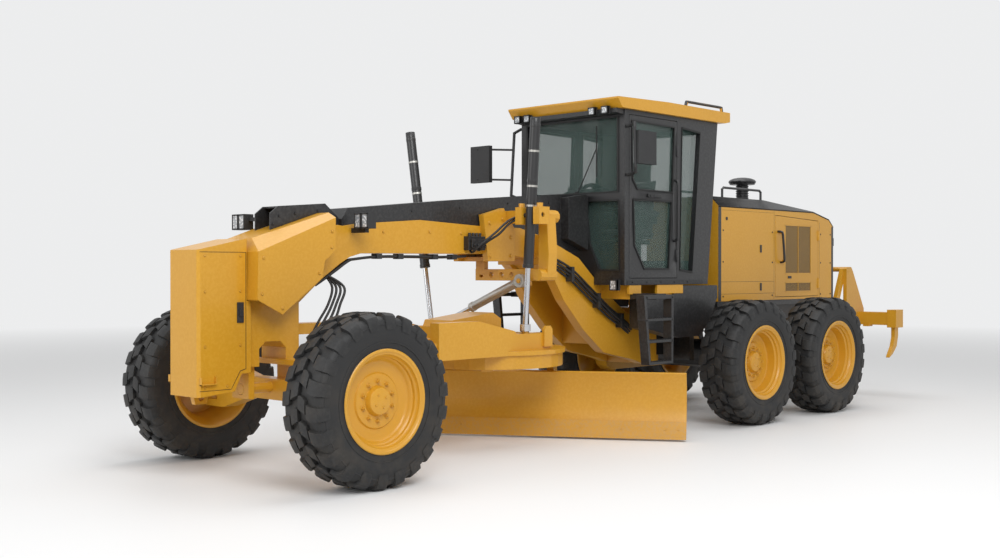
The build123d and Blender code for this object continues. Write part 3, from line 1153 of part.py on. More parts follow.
def ripper_carriage():
    """The ripper's uprights, cross tube, beam, shank pockets and shanks."""
    pin_x, upper_z = link_end(RIPPER_UPPER_Z)
    _, lower_z = link_end(RIPPER_LOWER_Z)
    low, high = RIPPER_BEAM_LOW_Z, RIPPER_BEAM_HIGH_Z
    outline = [
        (pin_x + 35, lower_z - 45), (pin_x + 38, upper_z + 20), (pin_x + 10, upper_z + 42), (pin_x - 90, upper_z + 42),
        (pin_x - 140, upper_z - 20), (-9030, high + 40), (-9030, low + 20), (-8900, low + 20),
    ]
    upright = side_plate(outline, 530 + SEAT_GAP, 580)
    for z in (lower_z, upper_z):
        upright = upright - bore((pin_x, 500, z), (pin_x, 600, z), RIPPER_PIN_RADIUS)
    beam = box(-9050, -8870, -RIPPER_BEAM_HALF, RIPPER_BEAM_HALF, low, high)
    tie = boss((pin_x - 75, -575, upper_z + 14), (pin_x - 75, 575, upper_z + 14), 32, 10)
    lug = box(pin_x - 100, pin_x + 34, -60, 60, upper_z - 20, upper_z + 30)
    pads = [box(-8960, -8850, y - 40, y + 40, low - 22, low) for y in (-700, 700)]
    blocks = [box(-9060, -8860, y - 62, y + 62, low - 30, high + 35) for y in SHANK_Y]
    shanks = [shank(y) for y in SHANK_Y]
    return join(both_sides(upright), beam, tie, lug, *pads, *blocks, *shanks)


def ripper_axis():
    """Both ends of the ripper's cylinder: its foot and the face it pushes on."""
    foot_x, foot_z = RIPPER_FOOT
    pin_x, upper_z = link_end(RIPPER_UPPER_Z)
    return Vector(foot_x, 0, foot_z), Vector(pin_x - 33, 0, upper_z - 20)


def ripper_barrel():
    """The ripper cylinder's barrel on its foot pin."""
    foot, top = ripper_axis()
    up = (top - foot).normalized()
    barrel = boss(foot + up * 95, foot + up * 520, 45, ROUND_SIDES)
    neck = boss(foot, foot + up * 100, 30)
    eye = boss((foot.X, -34, foot.Z), (foot.X, 34, foot.Z), 40, 12)
    pin = boss((foot.X, -60, foot.Z), (foot.X, 60, foot.Z), RIPPER_PIN_RADIUS)
    return join(barrel, neck, eye, pin) - bore(foot + up * 105, foot + up * 530, RIPPER_ROD_RADIUS)


def ripper_rod():
    """The ripper cylinder's rod with its head under the carriage's lug."""
    foot, top = ripper_axis()
    up = (top - foot).normalized()
    shaft = boss(foot + up * 440, top - up * 60, RIPPER_ROD_RADIUS)
    head = boss((top.X, -32, top.Z - 36 - SEAT_GAP), (top.X, 32, top.Z - 36 - SEAT_GAP), 36, 12)
    return join(shaft, head)


def write_all():
    """Writes every node."""
    os.makedirs("parts", exist_ok=True)
    wheels()
    # columns: node, what it is made of
    single = [
        ("main_frame", main_frame()), ("nose_box", nose_box()), ("gooseneck_cover", gooseneck_cover()),
        ("hose_cover", hose_cover()), ("lift_saddle", lift_saddle()), ("front_axle", front_axle()),
        ("knuckle_left", knuckle()), ("knuckle_right", mirrored(knuckle())), ("tie_rod", tie_rod()),
        ("drawbar_swivel", drawbar_swivel()), ("drawbar", drawbar()), ("circle", blade_circle()),
        ("blade_carrier", blade_carrier()), ("moldboard", moldboard()), ("cutting_edge", cutting_edge()),
        ("shift_bush", shift_bush()), ("shift_barrel", shift_barrel()), ("shift_rod", shift_rod()),
        ("cab_frame", cab_frame()), ("cab_roof", cab_roof()),
        ("cab_door_left", cab_door()), ("cab_door_right", mirrored(cab_door())),
        ("operator_seat", operator_seat()), ("control_console", control_console()),
        ("rear_frame", rear_frame()), ("hood", hood()),
        ("engine_door_left", engine_door()), ("engine_door_right", mirrored(engine_door())),
        ("ripper_carriage", ripper_carriage()), ("ripper_barrel", ripper_barrel()), ("ripper_rod", ripper_rod()),
    ]
    for name, piece in single:
        save(name, piece)
    for side, name in ((1, "left"), (-1, "right")):
        save(f"lift_yoke_{name}", lift_yoke(side))
        save(f"lift_barrel_{name}", lift_barrel(side))
        save(f"lift_rod_{name}", lift_rod(side))
    for name, z in (("upper", RIPPER_UPPER_Z), ("lower", RIPPER_LOWER_Z)):
        save(f"ripper_{name}_links", ripper_link(z), mirrored(ripper_link(z)))
    save("cab_glass", *cab_glass())
    save("mirrors", *mirrors())
    save("work_lamps", *work_lamps())
    save("side_steps", side_steps(), mirrored(side_steps()))
    save("belly_tanks", belly_tanks(), mirrored(belly_tanks()))
    save("tandem_cases", *tandem_cases())
    save("engine_block", *engine_block())
    save("hood_fittings", *hood_fittings())


if __name__ == "__main__":
    write_all()
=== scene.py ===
"""Dress of the motor grader: finishes, tyres, glazing, lamps, seat, hoses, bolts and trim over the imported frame."""
import json
import math

import bmesh
import bpy
from mathutils import Matrix, Vector


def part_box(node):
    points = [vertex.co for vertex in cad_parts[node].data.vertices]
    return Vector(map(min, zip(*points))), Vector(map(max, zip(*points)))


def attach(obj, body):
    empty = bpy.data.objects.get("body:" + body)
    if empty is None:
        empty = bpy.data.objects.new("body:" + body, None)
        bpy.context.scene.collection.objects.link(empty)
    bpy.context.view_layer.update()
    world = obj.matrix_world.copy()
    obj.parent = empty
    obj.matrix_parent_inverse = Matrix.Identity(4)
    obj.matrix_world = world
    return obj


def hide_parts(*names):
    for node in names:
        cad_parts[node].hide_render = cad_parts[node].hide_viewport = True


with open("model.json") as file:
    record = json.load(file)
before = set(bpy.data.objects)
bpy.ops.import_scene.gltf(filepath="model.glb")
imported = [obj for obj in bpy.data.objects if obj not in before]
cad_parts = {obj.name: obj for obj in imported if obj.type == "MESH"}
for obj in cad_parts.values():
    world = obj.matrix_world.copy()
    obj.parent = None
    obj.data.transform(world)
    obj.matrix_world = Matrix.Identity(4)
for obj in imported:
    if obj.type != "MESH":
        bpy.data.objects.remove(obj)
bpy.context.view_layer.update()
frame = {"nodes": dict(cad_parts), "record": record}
NODES = frame["nodes"]


# ---- places and sizes, in metres ----
def middle(node_name):
    low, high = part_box(node_name)
    return (Vector(low) + Vector(high)) / 2


AXLE_X = middle("tyre_front_left").x        # stations below are counted from the front axle
WHEELS = {f"{row}_{side}": middle(f"tyre_{row}_{side}")
          for row in ("front", "middle", "rear") for side in ("left", "right")}
TYRE_RADIUS = 0.665
TREAD_DEPTH = 0.030
TREAD_PITCHES = 22
RIM_FACE = {"front": 0.094, "middle": 0.037, "rear": 0.037}   # disc, from the middle of the wheel
STUDS = {"front": 10, "middle": 12, "rear": 12}
SIDES = (("left", 1), ("right", -1))
FRONT, REAR = "front_frame", "rear_frame"    # the two bodies of the hinged frame
LIFT = 0.0015                               # how far the hood's trim stands off its panels
TURN = 2 * math.pi
ORIGIN = Vector((0, 0, 0))


def at(x, y, z):
    """A point in the machine's frame, from its station behind or ahead of the front axle."""
    return Vector((AXLE_X + x, y, z))


# ---- nodes and shader groups ----
def fill(tree, item, inputs):
    """Links a node's inputs to sockets, or gives them plain values."""
    for label, value in inputs.items():
        if isinstance(value, bpy.types.NodeSocket):
            tree.links.new(value, item.inputs[label])
        else:
            item.inputs[label].default_value = value


def node(tree, kind, inputs=None, **settings):
    """A new node with its settings and its inputs."""
    item = tree.nodes.new(kind)
    for label, value in settings.items():
        setattr(item, label, value)
    fill(tree, item, inputs or {})
    return item


def object_place(tree):
    return node(tree, "ShaderNodeTexCoord").outputs["Object"]


def axes(tree, vector):
    return node(tree, "ShaderNodeSeparateXYZ", {0: vector}).outputs


def math_node(tree, operation, *values):
    """A math node whose inputs are sockets or numbers."""
    return node(tree, "ShaderNodeMath", dict(enumerate(values)), operation=operation).outputs[0]


def noise(tree, where, scale, detail=4.0):
    return node(tree, "ShaderNodeTexNoise", {
        "Detail": detail, "Roughness": 0.55, "Vector": where, "Scale": scale}).outputs["Fac"]


def spread(tree, value, low, high, to_low=0.0, to_high=1.0):
    return node(tree, "ShaderNodeMapRange", {
        "Value": value, "From Min": low, "From Max": high, "To Min": to_low, "To Max": to_high}).outputs["Result"]


def mix(tree, factor, first, second):
    return node(tree, "ShaderNodeMix", {0: factor, 6: first, 7: second}, data_type="RGBA").outputs[2]


def new_group(kind, name, inputs, outputs):
    """An empty node group; rows are name, socket type and, for inputs, default."""
    group = bpy.data.node_groups.new(name, kind)
    for label, socket_type, value in inputs:
        socket = group.interface.new_socket(label, in_out="INPUT", socket_type=socket_type)
        if value is not None:
            socket.default_value = value
    for label, socket_type in outputs:
        group.interface.new_socket(label, in_out="OUTPUT", socket_type=socket_type)
    return group, group.nodes.new("NodeGroupInput").outputs, group.nodes.new("NodeGroupOutput")


def worn_and_highlit_finish_group():
    """Soft mottling, rubbed edges lightened with a painted highlight, and ground dust over any base colour."""
    colours = [(label, "NodeSocketColor", (*value, 1)) for label, value in (
        ("Colour", (0.5, 0.5, 0.5)), ("Mottle colour", (0.4, 0.4, 0.4)), ("Edge colour", (0.6, 0.6, 0.6)),
        ("Dust colour", (0.5, 0.4, 0.3)))]
    numbers = [(label, "NodeSocketFloat", value) for label, value in (
        ("Mottle scale", 3.0), ("Mottle", 0.4), ("Edge wear", 0.3), ("Dust", 0.2), ("Roughness", 0.4),
        ("Roughness spread", 0.12), ("Grain scale", 300.0))]
    group, given, end = new_group("ShaderNodeTree", "worn_and_highlit_finish", colours + numbers, [
        ("Colour", "NodeSocketColor"), ("Roughness", "NodeSocketFloat"), ("Height", "NodeSocketFloat")])
    where = object_place(group)
    cloud = noise(group, where, given["Mottle scale"])
    base = mix(group, math_node(group, "MULTIPLY", spread(group, cloud, 0.35, 0.7), given["Mottle"]),
               given["Colour"], given["Mottle colour"])
    # Convex edges, broken up by noise, take the edge colour: rubbed paint together with a painted highlight.
    edge = spread(group, node(group, "ShaderNodeNewGeometry").outputs["Pointiness"], 0.515, 0.56)
    broken = spread(group, noise(group, where, 40.0), 0.45, 0.6)
    edge = math_node(group, "MULTIPLY", math_node(group, "MULTIPLY", edge, broken), given["Edge wear"])
    base = mix(group, edge, base, given["Edge colour"])
    low = spread(group, axes(group, where)["Z"], 1.1, 0.0)
    dust = math_node(group, "MULTIPLY", low, spread(group, noise(group, where, 7.0), 0.4, 0.75))
    dust = math_node(group, "MULTIPLY", dust, given["Dust"])
    rough = math_node(group, "MULTIPLY_ADD", cloud, given["Roughness spread"], given["Roughness"])
    fill(group, end, {
        "Colour": mix(group, dust, base, given["Dust colour"]),
        "Roughness": math_node(group, "ADD", rough, math_node(group, "MULTIPLY", dust, 0.3)),
        "Height": noise(group, where, given["Grain scale"], 2.0)})
    return group


WORN_AND_HIGHLIT = worn_and_highlit_finish_group()


def new_material(name):
    """A material with nodes, its tree and its shader."""
    material = bpy.data.materials.new(name)
    material.use_nodes = True
    return material, material.node_tree, material.node_tree.nodes["Principled BSDF"]


def finish(name, colour, mottle=None, edge=None, rough=0.4, bump=0.02, grain=300.0, metal=0.0, coat=0.0,
           wear_and_highlight=0.25, dust=0.15, scale=3.0, strength=0.35, round_edges=0.0):
    """A material on the finish group of mottling, rubbed edges with a painted highlight, and dust; colours are linear
    RGB triples.
    """
    material, tree, shader = new_material(name)
    mottle = mottle or tuple(c * 0.82 for c in colour)
    # By default the edge colour is a lighter copy of the base colour, a painted highlight on convex edges.
    edge = edge or tuple(min(1.0, c * 1.35 + 0.02) for c in colour)
    worn_and_highlit = node(tree, "ShaderNodeGroup", node_tree=WORN_AND_HIGHLIT)
    fill(tree, worn_and_highlit, {
        "Colour": (*colour, 1), "Mottle colour": (*mottle, 1), "Edge colour": (*edge, 1),
        "Dust colour": (0.32, 0.25, 0.17, 1), "Mottle scale": scale, "Mottle": strength, "Edge wear": wear_and_highlight,
        "Dust": dust, "Roughness": rough, "Grain scale": grain})
    bumps = node(tree, "ShaderNodeBump", {"Strength": bump, "Distance": 0.002, "Height": worn_and_highlit.outputs["Height"]})
    if round_edges:
        soft = node(tree, "ShaderNodeBevel", {"Radius": round_edges}, samples=4)
        fill(tree, bumps, {"Normal": soft.outputs["Normal"]})
    fill(tree, shader, {
        "Metallic": metal, "Coat Weight": coat, "Coat Roughness": 0.12, "Base Color": worn_and_highlit.outputs["Colour"],
        "Roughness": worn_and_highlit.outputs["Roughness"], "Normal": bumps.outputs["Normal"]})
    material.diffuse_color = (*colour, 1)
    return material


def glass(name, colour, rough=0.02):
    """Tinted safety glass; thin enough to be drawn with plain see-through."""
    material, tree, shader = new_material(name)
    smear = node(tree, "ShaderNodeTexNoise", {"Scale": 4.0, "Vector": object_place(tree)}).outputs["Fac"]
    fill(tree, shader, {"Base Color": (*colour, 1), "Alpha": 0.36, "IOR": 1.45,
                        "Roughness": spread(tree, smear, 0.3, 0.8, rough, rough + 0.05)})
    material.surface_render_method = "BLENDED"
    return material


def faceted_lens(name):
    """The clear ribbed lens of a lamp; bright cell middles are a painted reflection of the reflector behind it."""
    material = finish(name, (0.82, 0.84, 0.86), rough=0.08, bump=0.0, coat=1.0, wear_and_highlight=0, dust=0)
    tree = material.node_tree
    cells = node(tree, "ShaderNodeTexVoronoi", {"Scale": 48.0, "Vector": object_place(tree)})
    painted_glints = spread(tree, cells.outputs["Distance"], 0.1, 0.6)
    # Bright cell middles are a painted reflection of the reflector; darker grey marks the facet edges.
    colour = mix(tree, painted_glints, (0.95, 0.96, 0.97, 1), (0.30, 0.32, 0.34, 1))
    fill(tree, tree.nodes["Principled BSDF"], {"Base Color": colour})
    return material


def perforated(name, spacing=0.011):
    """Painted sheet with rows of small perforations drawn as near-black spots, painted shade of the space behind the
    sheet.
    """
    material = finish(name, (0.30, 0.17, 0.035), rough=0.5, bump=0.0, wear_and_highlight=0.1, dust=0.1)
    tree = material.node_tree
    shader = tree.nodes["Principled BSDF"]
    parts = axes(tree, object_place(tree))
    waves = [math_node(tree, "SINE", math_node(tree, "MULTIPLY", parts[axis], TURN / spacing))
             for axis in ("X", "Z")]
    shaded_holes = spread(tree, math_node(tree, "MULTIPLY", *waves), 0.05, 0.35)
    base = shader.inputs["Base Color"].links[0].from_socket
    # The perforations take a near-black colour, painted shade of the space behind the sheet.
    fill(tree, shader, {"Base Color": mix(tree, shaded_holes, base, (0.012, 0.010, 0.006, 1))})
    return material


# Edge colours here are mostly lighter copies of their base colours, painted highlights on convex edges; edge_paint's
# grey is bare steel rubbed through.
PAINT = finish("yellow_paint", (0.62, 0.305, 0.016), (0.56, 0.270, 0.013), (0.74, 0.42, 0.06), rough=0.33,
               bump=0.008, grain=420, coat=0.2, wear_and_highlight=0.18, dust=0.06, strength=0.2, round_edges=0.006)
BLACK = finish("black_paint", (0.012, 0.012, 0.013), (0.018, 0.018, 0.019), (0.06, 0.06, 0.06), rough=0.34,
               bump=0.02, grain=500, coat=0.15, wear_and_highlight=0.3, dust=0.06, round_edges=0.005)
BLACK_STEEL = finish("black_hardware", (0.016, 0.016, 0.017), rough=0.42, bump=0.05, wear_and_highlight=0.4, dust=0.08)
RUBBER = finish("tyre_rubber", (0.0085, 0.0087, 0.0092), (0.014, 0.014, 0.0145), (0.030, 0.030, 0.029), rough=0.55,
                bump=0.25, grain=240, wear_and_highlight=0.35, dust=0.12, scale=5.0, strength=0.6)
SEAL = finish("rubber_seal", (0.010, 0.010, 0.010), rough=0.6, bump=0.05, wear_and_highlight=0.1, dust=0.05)
HOSE = finish("hose_rubber", (0.012, 0.012, 0.013), rough=0.48, bump=0.2, grain=700, wear_and_highlight=0.1, dust=0.1)
CHROME = finish("polished_rod", (0.62, 0.63, 0.65), (0.55, 0.56, 0.58), rough=0.14, bump=0.01, metal=1.0, wear_and_highlight=0,
                dust=0.05)
STEEL = finish("zinc_steel", (0.45, 0.44, 0.41), rough=0.38, bump=0.05, metal=0.9, wear_and_highlight=0.2, dust=0.1)
EDGE_STEEL = finish("edge_paint", (0.58, 0.285, 0.018), (0.48, 0.235, 0.02), (0.30, 0.28, 0.25), rough=0.4,
                    bump=0.05, wear_and_highlight=0.15, dust=0.06)
CAST = finish("grey_iron", (0.10, 0.10, 0.10), rough=0.6, bump=0.5, grain=160, wear_and_highlight=0.3, dust=0.3)
PLASTIC = finish("grained_plastic", (0.020, 0.020, 0.021), rough=0.55, bump=0.35, grain=520, wear_and_highlight=0.1, dust=0.03)
LENS = faceted_lens("lamp_lens")
RED_LENS = finish("red_lens", (0.45, 0.012, 0.01), rough=0.12, bump=0.0, coat=1.0, wear_and_highlight=0, dust=0)
GRILLE = perforated("perforated_sheet")
GLASS = glass("tinted_glass", (0.085, 0.135, 0.120))


# ---- geometry node trees ----
def new_tree(name, **inputs):
    """A geometry tree with a mesh in and out, and named settings given as socket type, default."""
    rows = [("Geometry", "NodeSocketGeometry", None)]
    rows += [(label, f"NodeSocket{kind}", value) for label, (kind, value) in inputs.items()]
    rows.append(("Material", "NodeSocketMaterial", None))
    return new_group("GeometryNodeTree", name, rows, [("Geometry", "NodeSocketGeometry")])


def painted(tree, given, geometry, end):
    """Ends a tree with real geometry in the given material."""
    real = node(tree, "GeometryNodeRealizeInstances", {0: geometry})
    paint = node(tree, "GeometryNodeSetMaterial", {"Geometry": real.outputs[0], "Material": given["Material"]})
    tree.links.new(paint.outputs[0], end.inputs[0])
    return tree


def copies(tree, points, instance, **more):
    return node(tree, "GeometryNodeInstanceOnPoints", {"Points": points, "Instance": instance, **more}).outputs[0]


def ring_tree():
    """Copies of a mesh turned round the Y axis at even steps."""
    tree, given, end = new_tree("ring_of_copies", Count=("Int", 8), Phase=("Float", 0.0))
    points = node(tree, "GeometryNodePoints", {"Count": given["Count"]}).outputs[0]
    share = math_node(tree, "DIVIDE", node(tree, "GeometryNodeInputIndex").outputs[0], given["Count"])
    turn = math_node(tree, "ADD", math_node(tree, "MULTIPLY", share, TURN), given["Phase"])
    angles = node(tree, "ShaderNodeCombineXYZ", {"Y": turn}).outputs[0]
    return painted(tree, given, copies(tree, points, given["Geometry"], Rotation=angles), end)


def row_tree():
    """Copies of a mesh at even steps along a line."""
    tree, given, end = new_tree("row_of_copies", Count=("Int", 8), Step=("Vector", (0.0, 0.0, 0.1)))
    line = node(tree, "GeometryNodeMeshLine", {"Count": given["Count"], "Offset": given["Step"]})
    return painted(tree, given, copies(tree, line.outputs[0], given["Geometry"]), end)


def bolt_tree():
    """A hexagon head with its washer at each point, standing along the point's own facing."""
    tree, given, end = new_tree("bolt_heads", Radius=("Float", 0.012), Depth=("Float", 0.008))
    facing = node(tree, "GeometryNodeInputNamedAttribute", data_type="FLOAT_VECTOR")
    facing.inputs["Name"].default_value = "facing"
    turn = node(tree, "FunctionNodeAlignRotationToVector", {"Vector": facing.outputs[0]}, axis="Z")
    stack = node(tree, "GeometryNodeJoinGeometry")
    for sides, wide, deep in ((6, 1.0, 1.0), (12, 1.35, 0.3)):
        depth = math_node(tree, "MULTIPLY", given["Depth"], deep)
        head = node(tree, "GeometryNodeMeshCylinder", {
            "Vertices": sides, "Radius": math_node(tree, "MULTIPLY", given["Radius"], wide), "Depth": depth})
        lift = node(tree, "ShaderNodeCombineXYZ", {"Z": math_node(tree, "MULTIPLY", depth, 0.5)})
        move = node(tree, "GeometryNodeTransform", {
            "Geometry": head.outputs[0], "Translation": lift.outputs[0]})
        tree.links.new(move.outputs[0], stack.inputs[0])
    heads = copies(tree, given["Geometry"], stack.outputs[0], Rotation=turn.outputs[0])
    return painted(tree, given, heads, end)


def pipe_tree():
    """A round pipe along a smooth line through the mesh's points, with closed ends."""
    tree, given, end = new_tree("pipe_along_line", Radius=("Float", 0.01), Spacing=("Float", 0.02),
                                Sides=("Int", 12))
    line = node(tree, "GeometryNodeMeshToCurve", {0: given["Geometry"]})
    smooth_line = node(tree, "GeometryNodeCurveSplineType", {0: line.outputs[0]}, spline_type="CATMULL_ROM")
    even = node(tree, "GeometryNodeResampleCurve", {"Curve": smooth_line.outputs[0]}, mode="LENGTH")
    tree.links.new(given["Spacing"], even.inputs["Length"])
    ring = node(tree, "GeometryNodeCurvePrimitiveCircle", {
        "Radius": given["Radius"], "Resolution": given["Sides"]})
    skin = node(tree, "GeometryNodeCurveToMesh", {
        "Curve": even.outputs[0], "Profile Curve": ring.outputs[0], "Fill Caps": True})
    smooth = node(tree, "GeometryNodeSetShadeSmooth", {"Geometry": skin.outputs[0]})
    return painted(tree, given, smooth.outputs[0], end)


RING, ROW, BOLTS, PIPE = ring_tree(), row_tree(), bolt_tree(), pipe_tree()


def grown(mesh, tree, **settings):
    """The plain mesh that a tree makes from a mesh."""
    source = bpy.data.objects.new("source", mesh)
    bpy.context.scene.collection.objects.link(source)
    modifier = source.modifiers.new("tree", "NODES")
    modifier.node_group = tree
    for socket in tree.interface.items_tree:
        if socket.item_type == "SOCKET" and socket.in_out == "INPUT" and socket.name in settings:
            modifier[socket.identifier] = settings[socket.name]
    ready = source.evaluated_get(bpy.context.evaluated_depsgraph_get())
    result = bpy.data.meshes.new_from_object(ready)
    bpy.data.objects.remove(source)
    return result


# ---- pieces ----
def piece(name, mesh, material, body, bevel=0.0, angle=35.0, smooth=True):
    """A finished piece that rides on a body and takes its slot from its material."""
    item = bpy.data.objects.new(name, mesh)
    bpy.context.scene.collection.objects.link(item)
    if smooth:
        mesh.shade_smooth()
        mesh.set_sharp_from_angle(angle=math.radians(angle))
    mesh.materials.clear()
    mesh.materials.append(material)
    if bevel:
        soft = item.modifiers.new("soft edges", "BEVEL")
        soft.width = bevel
        soft.segments = 2
        soft.limit_method = "ANGLE"
        soft.angle_limit = math.radians(40)
        soft.harden_normals = True
    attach(item, body)
    return item


def mesh_from(bm, name):
    """A mesh from a finished bmesh, which is freed."""
    result = bpy.data.meshes.new(name)
    bm.to_mesh(result)
    bm.free()
    return result


class Shape:
    """Collects solids in one mesh; every point is given from the front axle's station, unless it is local."""

    def __init__(self, local=False):
        self.bm = bmesh.new()
        self.at = (lambda x, y, z: Vector((x, y, z))) if local else at

    def mesh(self):
        bmesh.ops.recalc_face_normals(self.bm, faces=self.bm.faces)
        return mesh_from(self.bm, "mesh")

    def skin(self, rows, around=True):
        """Faces between rows of vertices, and between each row's last and first vertex where they go around."""
        for a, b in zip(rows, rows[1:]):
            for k in range(len(a) if around else len(a) - 1):
                n = (k + 1) % len(a)
                self.bm.faces.new((a[k], a[n], b[n], b[k]))

    def loft(self, rings, closed=True):
        """Skins rows of points, each the same length, and caps both ends."""
        rows = [[self.bm.verts.new(p) for p in ring] for ring in rings]
        self.skin(rows)
        if closed:
            self.bm.faces.new(rows[0])
            self.bm.faces.new(list(reversed(rows[-1])))
        return self

    def box(self, x0, x1, y0, y1, z0, z1):
        return self.plan([(x0, y0), (x1, y0), (x1, y1), (x0, y1)], z0, z1)

    def flank(self, sign, x0, x1, y0, y1, z0, z1):
        """A box on the left for a sign of 1, or on the right for -1."""
        return self.box(x0, x1, *sorted((sign * y0, sign * y1)), z0, z1)

    def side(self, outline, y0, y1):
        """A plate with an outline in X and Z."""
        return self.loft([[self.at(x, y, z) for x, z in outline] for y in (y0, y1)])

    def cross(self, outline, x0, x1):
        """A plate with an outline in Y and Z."""
        return self.loft([[self.at(x, y, z) for y, z in outline] for x in (x0, x1)])

    def plan(self, outline, z0, z1):
        """A plate with an outline in X and Y."""
        return self.loft([[self.at(x, y, z) for x, y in outline] for z in (z0, z1)])

    def tube(self, start, end, rows, ring=False, sides=40):
        """A round bar along a line; rows are distance along it, radius. A ring joins its last row to its first."""
        start, end = self.at(*start), self.at(*end)
        way = (end - start).normalized()
        aside = way.orthogonal().normalized()
        across = way.cross(aside)
        turns = [TURN * k / sides for k in range(sides)]
        spokes = [aside * math.cos(t) + across * math.sin(t) for t in turns]
        rings = [[start + way * d + spoke * r for spoke in spokes] for d, r in rows]
        if not ring:
            return self.loft(rings)
        before = len(self.bm.verts)
        self.loft(rings + rings[:1], closed=False)
        bmesh.ops.remove_doubles(self.bm, verts=list(self.bm.verts)[before:], dist=1e-6)
        return self

    def rod(self, start, end, radius, sides=24):
        """A plain round bar."""
        length = (Vector(end) - Vector(start)).length
        return self.tube(start, end, [(0.0, radius), (length, radius)], sides=sides)

    def turned(self, outline, centre, sides=48, axis="Y"):
        """A ring or solid turned round an axis through the centre; rows are radius, distance along it."""
        rows = []
        for k in range(sides):
            c, s = math.cos(TURN * k / sides), math.sin(TURN * k / sides)
            points = {"Y": [(r * s, a, r * c) for r, a in outline], "Z": [(r * c, r * s, a) for r, a in outline]}
            rows.append([self.bm.verts.new(centre + Vector(p)) for p in points[axis]])
        self.skin(rows + rows[:1])
        bmesh.ops.remove_doubles(self.bm, verts=[v for row in rows for v in row], dist=1e-6)
        return self


def pipe(name, points, radius, body, material=HOSE, sides=12, spacing=0.02):
    """A hose or bent tube through points given from the front axle's station."""
    mesh = bpy.data.meshes.new("line")
    mesh.from_pydata([at(*p) for p in points], [(k, k + 1) for k in range(len(points) - 1)], [])
    result = grown(mesh, PIPE, Radius=radius, Spacing=spacing, Sides=sides, Material=material)
    return piece(name, result, material, body)


def bolts(name, rows, body, radius=0.012, depth=0.008, material=STEEL):
    """Hexagon heads; rows are point, facing."""
    mesh = bpy.data.meshes.new("points")
    mesh.from_pydata([at(*p) for p, _ in rows], [], [])
    facing = mesh.attributes.new("facing", "FLOAT_VECTOR", "POINT")
    for k, (_, way) in enumerate(rows):
        facing.data[k].vector = way
    result = grown(mesh, BOLTS, Radius=radius, Depth=depth, Material=material)
    return piece(name, result, material, body, angle=30)


def side_bolts(name, sign, face, places, body, radius, depth, material):
    """Hexagon heads on an upright face at a distance from the middle; places are X, Z."""
    bolts(name, [((x, sign * face, z), (0, sign, 0)) for x, z in places], body, radius, depth, material)


# ---- tyres and rims ----
def moved(mesh, place):
    mesh.transform(Matrix.Translation(place))
    return mesh


def lug_section(y, start, end, top, bottom):
    """One cross-section of a tread block, square to the wheel's axis."""
    def point(angle, radius):
        return Vector((radius * math.sin(angle), y, radius * math.cos(angle)))
    half = (start + end) / 2
    lean = (end - start) * 0.06
    return [point(start, bottom), point(end, bottom), point(end - lean, top), point(half, top),
            point(start + lean, top)]


def tread_unit(side):
    """The blocks of one pitch on one side: a staggered middle block and a lug over the shoulder."""
    unit = Shape(local=True)
    pitch = 2 * math.pi / TREAD_PITCHES
    low = TYRE_RADIUS - TREAD_DEPTH - 0.006
    shift = 0.0 if side > 0 else pitch / 2
    # columns: distance from the tyre's middle, start and end of the block in pitches, drop of its top and its foot
    centre = [(0.004, 0.05, 0.60, 0.003, 0.0), (0.030, 0.02, 0.66, 0.0, 0.0), (0.062, 0.10, 0.74, 0.0, 0.0),
              (0.084, 0.22, 0.80, 0.003, 0.0)]
    shoulder = [(0.098, 0.36, 0.97, 0.003, 0.0), (0.130, 0.40, 1.04, 0.0, 0.0), (0.172, 0.44, 1.08, 0.006, 0.004),
                (0.203, 0.46, 1.08, 0.022, 0.02), (0.219, 0.47, 1.07, 0.052, 0.05),
                (0.2215, 0.50, 1.03, 0.085, 0.09)]
    for rows in (centre, shoulder):
        unit.loft([lug_section(side * y, shift + a * pitch, shift + b * pitch, TYRE_RADIUS - top, low - foot)
                   for y, a, b, top, foot in rows])
    return unit.mesh()


def tyre_carcass():
    """The casing with its ribbed sidewalls."""
    half = [(TYRE_RADIUS - TREAD_DEPTH, 0.0), (TYRE_RADIUS - TREAD_DEPTH, 0.165), (0.626, 0.190), (0.605, 0.207),
            (0.585, 0.2125), (0.583, 0.2165), (0.575, 0.2165), (0.573, 0.2140), (0.530, 0.2190), (0.500, 0.2195),
            (0.470, 0.2160), (0.452, 0.2120), (0.450, 0.2150), (0.441, 0.2140), (0.439, 0.2080), (0.415, 0.2010),
            (0.398, 0.1990), (0.394, 0.2030), (0.386, 0.2020), (0.376, 0.1950), (0.366, 0.1800)]
    outline = [(r, -a) for r, a in reversed(half[1:])] + half + [(0.362, 0.0)]
    return Shape(local=True).turned(outline, ORIGIN, sides=120).mesh()


def tyre_mesh():
    treads = [grown(tread_unit(side), RING, Count=TREAD_PITCHES, Material=RUBBER) for side in (1, -1)]
    return joined([tyre_carcass(), *treads])


def joined(meshes):
    """One mesh from several."""
    bm = bmesh.new()
    for mesh in meshes:
        bm.from_mesh(mesh)
    bmesh.ops.recalc_face_normals(bm, faces=bm.faces)
    return mesh_from(bm, "joined")


